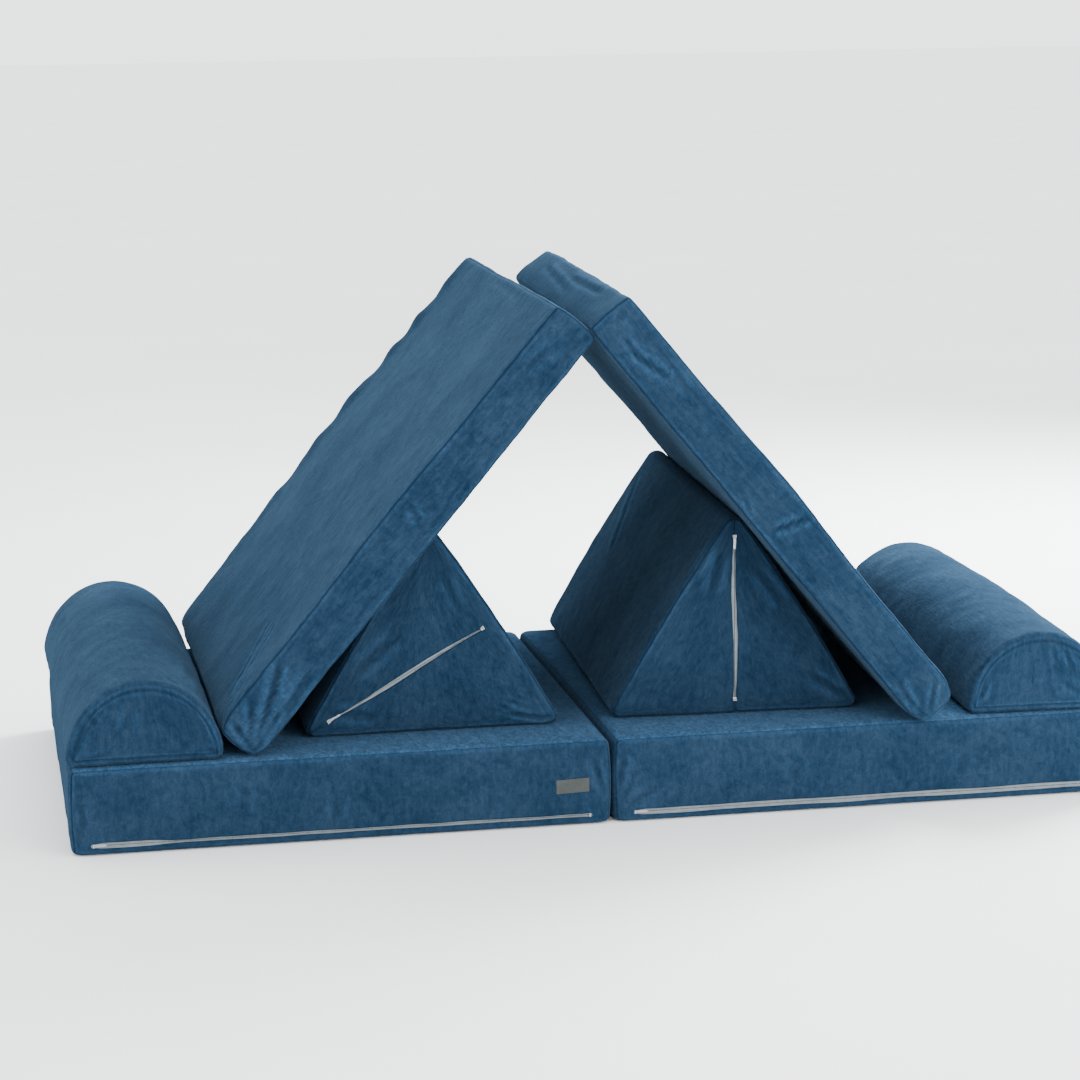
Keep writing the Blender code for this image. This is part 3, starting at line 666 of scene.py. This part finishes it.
def finish_cloth(module, cover):
    """Sew, wave and crease a cover: points move along their normals by a few millimetres. The velvet reads
    where its seams are, which it darkens, and the hollows of its folds, where it paints shade; and its
    rubbed places, which are paler, mixed with painted highlights beside seams, on slab tops and on fold
    ridges."""
    kind = kind_of(module)
    seat, points = seat_of(cover), points_of(cover)
    normals = read_vectors(cover.data.vertex_normals, "vector")
    seed = 11 * number_of(module) + 5
    distance, along = seam_distance(module, seat)
    lively = np.clip(0.6 + 0.4 * soft_waves(on_a_line(along), 0.11, seed + 2), 0, 1.4)
    puckers = soft_waves(on_a_line(along), 0.024, seed + 3) * lively
    move = BROAD_WAVE * soft_waves(points, 0.16, seed) + SMALL_WAVE * soft_waves(points, 0.05, seed + 1)
    move += PUCKER * puckers * np.exp(-distance / 0.016)
    move += lively * SEAM_LIP * hump(distance - 4.2 * MM, 2.2 * MM) - SEAM_SINK * hump(distance, 1.3 * MM)
    if kind == "mat":
        move += mat_back(points, normals, seed)
    hollow, ridge = np.zeros(len(points)), np.zeros(len(points))
    # Each fold moves the cloth; its hollow is kept for painted shade and its ridge for a painted highlight
    for fold in [*CREASES[module], *corner_folds(module)]:
        folded = crease(points, *fold)
        move += folded
        hollow, ridge = np.maximum(hollow, -folded / (3 * MM)), np.maximum(ridge, folded / (1.4 * MM))
    for contact in CONTACTS[module]:
        near = contact(points, normals)
        move = np.where(move > 0, move * (1 - near), move * (1 - near * 0.9))
    flat, lips, zip_seam = beside_zip(module, points, normals, seed)
    move = move * (1 - flat) + lips - ZIP_SEAM_SINK * zip_seam
    set_points(cover, points + normals * move[:, None])

    # Dark seam lines, and painted shade in the hollows of folds, for the velvet to darken
    keep(cover, "seam_line_and_fold_shade", np.maximum.reduce([
        hump(distance, 1.6 * MM), 0.65 * np.clip(hollow, 0, 1), 0.9 * zip_seam]))
    # Paler places: a painted highlight along the rounded edges beside seams, mixed with wear there
    rub_and_highlight = 0.40 * lively * hump(distance - 5.5 * MM, 3.0 * MM)
    # On a slab's top: a painted highlight on the upward faces, mixed with wear where people sit, most of it
    # at the front
    if kind == "base":
        front_strip = 1 - smooth_step(points[:, 1], -0.36, -0.24)
        rub_and_highlight = np.maximum(rub_and_highlight, smooth_step(normals[:, 2], 0.6, 0.95) * (0.35 + 0.65 * front_strip))
    # A painted highlight on the ridges of folds
    rub_and_highlight = np.maximum(rub_and_highlight, (0.25 if kind == "base" else 0.42) * np.clip(ridge, 0, 1))
    keep(cover, "rub_and_highlight", np.clip(rub_and_highlight, 0, 1))


# Zips

def open_pocket(module, cover):
    """Cut the zip's slot into the cover and sink it, so that the tape and the slider lie in it."""
    place, slot = ZIPS[module]
    back, turn = place.inverted(), place.to_3x3()
    outward = turn @ Vector((0, 0, 1))

    def select_near(half_length, half_width):
        in_edit = bmesh.from_edit_mesh(cover.data)
        for face in in_edit.faces:
            at = back @ face.calc_center_median()
            close = abs(at.x) < half_length and abs(at.y) < half_width and abs(at.z) < ZIP_REACH
            face.select_set(close and face.normal.dot(outward) > 0.5)
        bmesh.update_edit_mesh(cover.data)

    pick(cover)
    bpy.ops.object.mode_set(mode="EDIT")
    bpy.ops.mesh.select_mode(type="FACE")
    for x, y in ((0, -SLOT_MOUTH), (0, SLOT_MOUTH), (-slot / 2, 0), (slot / 2, 0)):
        select_near(slot / 2 + ZIP_REACH, ZIP_MARGIN)
        normal = turn @ Vector((0, 1, 0) if y else (1, 0, 0))
        bpy.ops.mesh.bisect(plane_co=place @ Vector((x, y, 0)), plane_no=normal)
    select_near(slot / 2, SLOT_MOUTH)
    bpy.ops.mesh.extrude_region_move(TRANSFORM_OT_translate={"value": -outward * SLOT_DEPTH})
    bpy.ops.object.mode_set(mode="OBJECT")


# How far each slot bows open, how far its lips are drawn shut and how far it runs sideways, in millimetres
SLOT_LIPS = {"wedge_left": (2.2, 1.9, 1.2), "wedge_right": (1.7, 1.2, 1.8),
             "base_left": (0.0, 0.4, 0.0), "base_right": (0.0, -1.8, 0.6)}
OTHER_LIPS = (0.0, 0.6, 0.0)


def gape(module, cover):
    """Move the slot's lips apart or together, in soft waves; the left slab's slot gapes at its start."""
    place, slot = ZIPS[module]
    bow, shut, run = SLOT_LIPS.get(module, OTHER_LIPS)
    local = in_zip_frame(place, points_of(cover))
    share, side = local[:, 0] / slot + 0.5, np.sign(local[:, 1])
    inside = (share > 0) & (share < 1) & (np.abs(local[:, 2]) < ZIP_REACH)
    fall = np.exp(-np.maximum(np.abs(local[:, 1]) - SLOT_MOUTH, 0) / 0.007)
    ends = smooth_step(share, 0, 0.02) * smooth_step(1 - share, 0, 0.02)
    waves = soft_waves(on_a_line(share * 0.5 + side * 3), 0.045, 40 + number_of(module))
    waves = waves * (0.45 if module.startswith("base") else 0.35)
    apart = bow * np.clip(4 * share * (1 - share), 0, 1) ** 2
    if module == "base_left":
        apart = 1.8 * smooth_step(0.16 - share, 0, 0.05)
    shift = side * (MM * (apart + waves - shut)) + run * MM * np.sin(local[:, 0] * 26.0)
    local[:, 1] += np.where(inside, shift * fall * ends, 0)
    set_points(cover, local @ np.array(place.to_3x3()).T + np.array(place.translation))


def woven_half(module, side, word, slot):
    """One half of the zip's tape: a woven band whose inner edge is folded back to a soft bead."""
    half = slot / 2 + TAPE_PAST_SLOT
    below, above = sorted((side * TAPE_INNER, side * TAPE_OUTER))
    piece = bar(module + "_woven_tape_" + word, (-half, below, TAPE_BACK), (half, above, TAPE_FACE),
                round(slot / 0.009))
    cut_across([((0, side * y, 0), (0, 1, 0)) for y in (1.5 * MM, 3.2 * MM)])
    points = points_of(piece)
    bead = hump(np.abs(points[:, 1]) - TAPE_INNER, 0.8 * MM)
    wave = 0.16 * MM * soft_waves(points, 0.030, 71 + side, (1, 0, 0))
    points[:, 2] += 0.22 * MM * bead + np.clip(wave, -0.22 * MM, 0.16 * MM) - 0.10 * MM
    set_points(piece, points)
    round_edges(piece, 0.18 * MM)
    return piece


def coil_teeth(module, slot):
    """Two rows of rounded teeth that mesh behind the tape."""
    rows = []
    for side in (-1, 1):
        pick()
        first = (-slot / 2 + (2.2 + 0.9 * side) * MM, side * 0.75 * MM, TOOTH_LEVEL)
        bpy.ops.mesh.primitive_ico_sphere_add(subdivisions=1, radius=1, scale=TOOTH_HALF, location=first)
        row = active_piece(module + "_zip_coil")
        bpy.ops.object.transform_apply(location=True, rotation=True, scale=True)
        apply_modifier(row, "ARRAY", count=int((slot - 4.5 * MM) / TOOTH_PITCH), use_relative_offset=False,
                       use_constant_offset=True, constant_offset_displace=(TOOTH_PITCH, 0, 0))
        rows.append(row)
    return joined(module + "_zip_coil", rows)


def bar_tack(name, length):
    """Thread wound side by side to close a slot's end."""
    piece = bar(name, (-length / 2, -TACK_HALF_WIDTH, -0.5 * MM),
                (length / 2, TACK_HALF_WIDTH, 0.9 * MM), TACK_WRAPS)
    points = points_of(piece)
    wraps = np.round((points[:, 0] / length + 0.5) * TACK_WRAPS).astype(int) % 2
    ends = np.clip(1 - (2 * np.abs(points[:, 0]) / length) ** 8, 0.25, 1)
    points[:, 1] *= (0.72 + 0.28 * wraps) * ends
    points[:, 2] = np.where(points[:, 2] > 0, points[:, 2] * (0.55 + 0.45 * wraps) * ends, points[:, 2])
    set_points(piece, points)
    subdivide(piece)
    return piece


# The slider's front plate, back plate, the neck between them and the low bridge: corners in millimetres
RUNNER_PARTS = (((-8.6, -2.5, -2.45), (8.6, 2.5, -1.25)), ((-8.6, -2.4, -5.75), (8.6, 2.4, -4.95)),
                ((-5.0, -0.38, -5.2), (6.5, 0.38, -2.0)), ((-4.6, -0.7, -1.6), (4.6, 0.7, -0.5)))


def zip_runner(module, slot):
    """The slider, with its plates drawn in to a nose, at the start of its slot."""
    parts = []
    for low, high in RUNNER_PARTS:
        piece = bar(module + "_zip_runner", [v * MM for v in low], [v * MM for v in high], 6)
        points = points_of(piece)
        points[:, 1] *= (1 - 0.42 * smooth_step(points[:, 0], 4.0 * MM, 8.6 * MM)
                         - 0.12 * smooth_step(-points[:, 0], 5 * MM, 8.6 * MM))
        set_points(piece, points)
        round_edges(piece, 0.25 * MM)
        parts.append(piece)
    runner = joined(module + "_zip_runner", parts)
    put(runner, Matrix.Translation((-(slot / 2 - END_ROOM - STOP_LENGTH - RUNNER_HALF), 0, 0)))
    return runner


TAPE_WORDS = {"base": ("upper", "lower"), "wedge": ("upper", "lower"), "mat": ("outer", "inner"),
              "bolster": ("right", "left")}


def make_zip(module, finishes):
    place, slot = ZIPS[module]
    world = PLACES[module] @ place
    made = []
    for side, word in zip((1, -1), TAPE_WORDS[kind_of(module)]):
        half = woven_half(module, side, word, slot)
        dress(half, finishes["tape"])
        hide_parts(module + "_zip_tape_" + word)
        made.append(half)
    teeth = coil_teeth(module, slot)
    dress(teeth, finishes["coil"])
    made.append(teeth)
    if not module.startswith("bolster"):
        for end, x in (("start", -slot / 2 - 1.2 * MM), ("end", slot / 2 + 1.2 * MM)):
            tack = bar_tack(module + "_bar_tack_" + end, (10 if module.startswith("base") else 7) * MM)
            put(tack, Matrix.Translation((x, 0, 0)) @ Matrix.Rotation(pi / 2, 4, "Z"))
            dress(tack, finishes["thread"])
            made.append(tack)
    for piece in made:
        put(piece, world)
        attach(piece, module)
    runner = zip_runner(module, slot)
    dress(runner, finishes["metal"])
    put(runner, world)
    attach(runner, module + "_zip_slider")
    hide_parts(module + "_zip_slider")


def make_label(finish):
    """A blank woven label, sewn flat and a little askew to the left slab's front."""
    low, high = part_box("base_left_label")
    piece = bar("base_left_woven_label", low, high, 12)
    cut_across([((0, 0, low.z + (high.z - low.z) * k / 6), (0, 0, 1)) for k in range(1, 6)])
    points = points_of(piece)
    points[:, 2] += (points[:, 0] - (low.x + high.x) / 2) * 0.03
    in_front = points[:, 1] < (low.y + high.y) / 2
    points[:, 1] -= np.where(in_front, 0.25 * MM * (1 + soft_waves(points, 0.02, 5)), 0)
    set_points(piece, points)
    round_edges(piece, 0.15 * MM)
    dress(piece, finish)
    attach(piece, "base_left")
    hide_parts("base_left_label")


# Covers and foam blocks

def panel_map(module, cover):
    """A flat map of each panel in metres, so that the nap and the weave follow the cloth."""
    low, high, _ = BLOCKS[kind_of(module)]
    mesh, seat = cover.data, seat_of(cover)
    corners = read_numbers(mesh.loops, "vertex_index")
    counts = read_numbers(mesh.polygons, "loop_total")
    polygon = np.repeat(np.arange(len(counts)), counts)
    centre = np.stack([np.bincount(polygon, seat[corners, k]) / counts for k in range(3)], 1)
    gaps = np.concatenate([centre - np.array(low), np.array(high) - centre], 1)
    panel = gaps.argmin(1)[polygon]
    here = seat[corners]
    across = np.choose(panel % 3, [here[:, 2], here[:, 0], here[:, 0]])
    along = np.choose(panel % 3, [here[:, 1], here[:, 2], here[:, 1]])
    cloth = np.stack([across + panel * 2.3, along + panel * 1.7], 1)
    layer = mesh.uv_layers.new(name="cloth")
    layer.data.foreach_set("uv", cloth.astype(np.float32).ravel())


def set_in_place(piece, module):
    put(piece, PLACES[module])
    pick(piece)
    bpy.ops.object.shade_smooth()


def make_cover(module):
    low, high, step = BLOCKS[kind_of(module)]
    cover = cut_block(module + "_velvet_cover", low, high, step, COVER_CUTS)
    seat = points_of(cover)
    keep(cover, "seat", seat)
    set_points(cover, form_of(module, seat))
    subdivide(cover)
    finish_cloth(module, cover)
    panel_map(module, cover)
    open_pocket(module, cover)
    gape(module, cover)
    set_in_place(cover, module)
    placed = points_of(cover)
    placed[:, 2] = np.maximum(placed[:, 2], 0)
    set_points(cover, placed)
    return cover


def make_core(module):
    """The foam: the module's form drawn in all round, and a little more behind the zip."""
    low, high, _ = BLOCKS[kind_of(module)]
    core = cut_block(module + "_foam_block", low, high, CORE_STEP, CORE_CUTS)
    made = form_of(module, points_of(core))
    low_made, high_made = made.min(0), made.max(0)
    centre, half = (low_made + high_made) / 2, (high_made - low_made) / 2
    shrunk = centre + (made - centre) * (1 - CORE_ROOM / half)
    if module.startswith("wedge"):
        shrunk[:, 0] *= WEDGE_CORE_SLIM
    out = np.array(ZIPS[module][0].to_3x3())[:, 2]
    near_zip = np.clip(((shrunk - centre) @ out) / (half @ np.abs(out)), 0, 1) ** 8
    shrunk -= out * (CORE_ZIP_ROOM * near_zip)[:, None]
    set_points(core, shrunk)
    subdivide(core)
    set_in_place(core, module)
    return core


# Materials

class Finish:
    """A material and short ways to add its nodes."""

    def __init__(self, name):
        self.material = bpy.data.materials.new(name)
        self.material.use_nodes = True
        self.tree = self.material.node_tree

    def feed(self, node, values):
        """Link or set a node's sockets, each by its name or number."""
        for name, value in values.items():
            if isinstance(value, bpy.types.NodeSocket):
                self.tree.links.new(value, node.inputs[name])
            else:
                node.inputs[name].default_value = value

    def shade(self, values):
        self.feed(self.tree.nodes["Principled BSDF"], values)

    def node(self, kind, output, values, **settings):
        """A new node's output: its settings are made first, because they can change its sockets."""
        made = self.tree.nodes.new(kind)
        for key, value in settings.items():
            setattr(made, key, value)
        self.feed(made, values)
        return made.outputs[output]

    def stretched(self, place, scale):
        return self.node("ShaderNodeMapping", 0, {"Vector": place, "Scale": scale})

    def cloth(self, scale):
        """Places on the cloth in metres, stretched by a scale for each direction."""
        return self.stretched(self.node("ShaderNodeUVMap", 0, {}, uv_map="cloth"), scale)

    def place(self, scale=(1, 1, 1)):
        return self.stretched(self.node("ShaderNodeTexCoord", "Object", {}), scale)

    def noise(self, vector, scale, detail, roughness, distortion=0.0):
        return self.node("ShaderNodeTexNoise", "Fac", {
            "Vector": vector, "Scale": scale, "Detail": detail, "Roughness": roughness,
            "Distortion": distortion})

    def ramp(self, value, stops):
        colour = self.node("ShaderNodeValToRGB", "Color", {"Fac": value})
        elements = colour.node.color_ramp.elements
        while len(elements) < len(stops):
            elements.new(0.5)
        for element, (position, shade) in zip(elements, stops):
            element.position, element.color = position, (*shade, 1)
        return colour

    def between(self, value, low, high, to_low=0.0, to_high=1.0):
        return self.node("ShaderNodeMapRange", "Result", {
            "Value": value, "From Min": low, "From Max": high, "To Min": to_low, "To Max": to_high})

    def sum(self, a, b):
        return self.node("ShaderNodeMath", 0, {0: a, 1: b}, operation="ADD")

    def times(self, a, b):
        return self.node("ShaderNodeMath", 0, {0: a, 1: b}, operation="MULTIPLY")

    def mix(self, factor, a, b, kind="MIX"):
        a, b = ((*colour, 1) if isinstance(colour, tuple) else colour for colour in (a, b))
        return self.node("ShaderNodeMix", 2, {0: factor, 6: a, 7: b}, data_type="RGBA", blend_type=kind)

    def bump(self, height, distance, strength, under=None):
        values = {"Height": height, "Distance": distance, "Strength": strength}
        return self.node("ShaderNodeBump", "Normal", {**values, "Normal": under} if under else values)

    def attribute(self, name):
        return self.node("ShaderNodeAttribute", "Fac", {}, attribute_name=name)


# The velvet's colours where its nap lies dark, half way and pale
DEEP, MID, PALE = (0.0054, 0.0160, 0.0328), (0.0098, 0.0248, 0.0484), (0.0168, 0.0360, 0.0632)
# How much paler rubbed wear and painted highlights are than the pale velvet, and the sheen's tint
PALE_RUB_AND_HIGHLIGHT, SHEEN_TINT = (2.4, 3.0, 3.4), (0.30, 0.52, 0.74, 1)


def velvet(name, tone, nap, sheen, marks):
    """Short-pile velvet: brushed patches, fine streaks along the nap, dark flecks, paler rubbed places mixed
    with painted highlights, and dark seams with painted shade in the hollows of folds."""
    f = Finish("blue velvet of the " + name)
    deep, mid, pale = ([tone * c for c in colour] for colour in (DEEP, MID, PALE))
    even, along = f.cloth((1, 1, 1)), f.cloth((*nap, 1))
    patches = f.noise(even, 7, 6, 0.66, 0.8)
    mottle = f.noise(even, 70, 6, 0.72, 0.9)
    streaks = f.noise(along, 130, 5, 0.68, 0.4)
    fibres = f.noise(along, 900, 3, 0.7)
    brushing = f.sum(f.sum(f.times(patches, 0.38), f.times(mottle, 0.34)), f.times(streaks, 0.28))
    spread = 0.10 / marks
    colour = f.ramp(brushing, [(0.5 - spread, deep), (0.5, mid), (0.5 + 1.1 * spread, pale)])
    flecks = f.between(f.noise(along, 190, 4, 0.75), 0.565, 0.68)
    colour = f.mix(f.times(flecks, 0.40 * marks), colour, tuple(0.55 * c for c in deep))
    crushed = f.between(f.noise(f.cloth((1, 0.45, 1)), 110, 5, 0.75, 1.2), 0.42, 0.64, 0.30, 1.0)
    # Paler rubbed wear mixed with painted highlights, where the cover's kept value says
    rub_and_highlight = f.times(f.times(f.attribute("rub_and_highlight"), crushed), 0.72)
    colour = f.mix(rub_and_highlight, colour, tuple(k * c for k, c in zip(PALE_RUB_AND_HIGHLIGHT, pale)))
    fine = f.between(fibres, 0.25, 0.75, 0.76, 1.20)
    colour = f.mix(1.0, colour, f.mix(1.0, (1, 1, 1), fine, "MULTIPLY"), "MULTIPLY")
    # Darken the seams, and paint shade into the hollows of folds
    colour = f.mix(f.times(f.attribute("seam_line_and_fold_shade"), 0.55), colour, tuple(0.40 * c for c in deep))
    weave = f.bump(streaks, 0.0016, 0.45, f.bump(fibres, 0.0008, 0.6))
    f.shade({
        "Base Color": colour,
        "Roughness": f.between(brushing, 0.38, 0.62, 0.90, 0.62),
        "Specular IOR Level": 0.0,
        "Sheen Weight": sheen,
        "Sheen Roughness": 0.38,
        "Sheen Tint": SHEEN_TINT,
        "Normal": f.bump(mottle, 0.0024, 0.40, weave),
    })
    return f.material


def grained(name, grain, dark, light, rough, relief, stretch=(1, 1, 1), metallic=0.0):
    """A finish with one fine grain: its noise, its two colours, and its range of roughness and relief."""
    f = Finish(name)
    specks = f.noise(f.place(stretch), *grain)
    f.shade({
        "Base Color": f.ramp(specks, [(0.3, dark), (0.7, light)]),
        "Metallic": metallic,
        "Roughness": f.between(specks, 0.2, 0.8, *rough),
        "Normal": f.bump(specks, *relief),
    })
    return f.material


def woven_tape(name, light, dark):
    f = Finish(name)
    at = f.place()
    threads, worn = f.noise(at, 1400, 2, 0.6), f.noise(at, 60, 3, 0.6)
    colour = f.mix(f.between(worn, 0.3, 0.7), dark, light)
    f.shade({
        "Base Color": f.mix(f.between(threads, 0.3, 0.7, 0.0, 0.5), colour, tuple(0.7 * c for c in dark)),
        "Roughness": f.between(threads, 0.2, 0.8, 0.55, 0.85),
        "Normal": f.bump(threads, 0.0004, 0.6),
    })
    return f.material


def dress(piece, material):
    piece.data.materials.clear()
    piece.data.materials.append(material)


# Stage and camera

FLOOR_SIDE, WORLD_COLOUR, WORLD_STRENGTH = 80, (0.96, 0.98, 1.0, 1), 2.85
# Each lamp's name, place, aim, size in metres, power in watts and colour
LAMPS = (("window_light", (2.3, 1.7, 2.0), (0.5, 0, 0.25), 1.7, 430, (0.93, 0.97, 1.0)),
         ("front_fill", (2.6, -3.9, 1.2), (0.5, 0, 0.1), 2.6, 165, (1.0, 0.98, 0.95)))

# The photograph's viewpoint, worked out from the slabs' and the mats' corners: turns in radians, and
# focal length and optical middle in pixels of its square frame
CAMERA_PLACE = (-0.9643431, -5.0043962, 1.3184830)
YAW, PITCH, ROLL = -0.18461902, 0.18283258, -0.013316006
FRAME_SIDE, FOCAL_LENGTH, MIDDLE_X, MIDDLE_Y = 1080, 3111.6435, 541.68565, 539.10685
SENSOR_WIDTH = 36


def make_stage():
    pick()
    bpy.ops.mesh.primitive_plane_add(size=FLOOR_SIDE, location=(0, 0, 0))
    floor = bpy.context.object
    floor.name = "studio_floor"
    f = Finish("pale studio floor")
    worn = f.noise(f.place(), 1.5, 2, 0.5)
    f.shade({"Base Color": f.ramp(worn, [(0.3, (0.88, 0.88, 0.88)), (0.7, (0.91, 0.91, 0.91))]),
             "Roughness": 0.8})
    dress(floor, f.material)
    world = bpy.context.scene.world or bpy.data.worlds.new("soft studio")
    bpy.context.scene.world = world
    world.use_nodes = True
    back = world.node_tree.nodes["Background"]
    back.inputs["Color"].default_value, back.inputs["Strength"].default_value = WORLD_COLOUR, WORLD_STRENGTH
    for name, place, aim, size, power, colour in LAMPS:
        pick()
        bpy.ops.object.light_add(type="AREA", location=place)
        light = bpy.context.object
        light.name = name
        light.data.size, light.data.energy, light.data.color = size, power, colour
        light.rotation_euler = (Vector(aim) - Vector(place)).to_track_quat("-Z", "Y").to_euler()


def make_camera():
    forward = Vector((-sin(YAW) * cos(PITCH), cos(YAW) * cos(PITCH), -sin(PITCH)))
    right = Vector((cos(YAW), sin(YAW), 0))
    up = right.cross(forward)
    turned_right, turned_up = cos(ROLL) * right + sin(ROLL) * up, -sin(ROLL) * right + cos(ROLL) * up
    place = Matrix((turned_right, turned_up, -forward)).transposed().to_4x4()
    place.translation = CAMERA_PLACE
    camera = bpy.data.objects.new("camera", bpy.data.cameras.new("camera"))
    bpy.context.scene.collection.objects.link(camera)
    camera.matrix_world = place
    camera.data.sensor_width = SENSOR_WIDTH
    camera.data.lens = SENSOR_WIDTH * FOCAL_LENGTH / FRAME_SIDE
    camera.data.shift_x = (FRAME_SIDE / 2 - MIDDLE_X) / FRAME_SIDE
    camera.data.shift_y = (MIDDLE_Y - FRAME_SIDE / 2) / FRAME_SIDE
    bpy.context.scene.camera = camera


# The part

# Each cover's velvet: name, tone, how far the nap is drawn out each way, sheen and strength of its marks.
# The small differences in tone between covers partly paint how light and shade fall on each.
VELVETS = {
    "base_left": ("left slab", 1.00, (1, 0.35), 0.12, 1.0),
    "base_right": ("right slab", 1.05, (1, 0.35), 0.12, 1.0),
    "mat_left": ("left mat", 0.97, (0.16, 1), 0.14, 1.1),
    "mat_right": ("right mat", 1.00, (0.14, 1), 0.14, 1.0),
    "wedge_left": ("left wedge", 0.98, (1, 0.4), 0.12, 1.1),
    "wedge_right": ("right wedge", 0.93, (1, 0.4), 0.12, 1.0),
    "bolster_left": ("left bolster", 0.97, (1, 0.3), 0.12, 1.0),
    "bolster_right": ("right bolster", 1.04, (1, 0.2), 0.14, 1.0),
}


def make_finishes():
    return {
        "foam": grained("open-cell foam", (420, 3, 0.7), (0.62, 0.53, 0.33), (0.84, 0.77, 0.56),
                        (0.85, 1.0), (0.001, 0.7)),
        "tape": woven_tape("grey woven zip tape", (0.200, 0.230, 0.245), (0.135, 0.158, 0.172)),
        "coil": woven_tape("grey nylon zip coil", (0.300, 0.335, 0.350), (0.22, 0.25, 0.265)),
        "label": woven_tape("grey woven label", (0.030, 0.037, 0.035), (0.016, 0.020, 0.020)),
        "metal": grained("brushed zip metal", (700, 3, 0.6), (0.30, 0.31, 0.33), (0.46, 0.47, 0.49),
                         (0.28, 0.48), (0.0002, 0.3), metallic=1.0),
        "thread": grained("white stitching thread", (900, 2, 0.6), (0.40, 0.43, 0.45), (0.56, 0.59, 0.60),
                          (0.5, 0.8), (0.0003, 0.6), stretch=(1, 1, 6)),
        "stop": grained("moulded white plastic", (500, 3, 0.6), (0.34, 0.35, 0.35), (0.44, 0.45, 0.45),
                        (0.35, 0.55), (0.0002, 0.3)),
    }


def main():
    make_camera()
    make_stage()
    cloths = {module: velvet(*words) for module, words in VELVETS.items()}
    finishes = make_finishes()
    for module in PLACES:
        cover = make_cover(module)
        dress(cover, cloths[module])
        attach(cover, module)
        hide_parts(module + "_cover")
        core = make_core(module)
        dress(core, finishes["foam"])
        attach(core, module)
        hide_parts(module + "_foam_core")
        make_zip(module, finishes)
    make_label(finishes["label"])
    for name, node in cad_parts.items():
        if "_zip_stop_" in name:
            dress(node, finishes["stop"])


main()
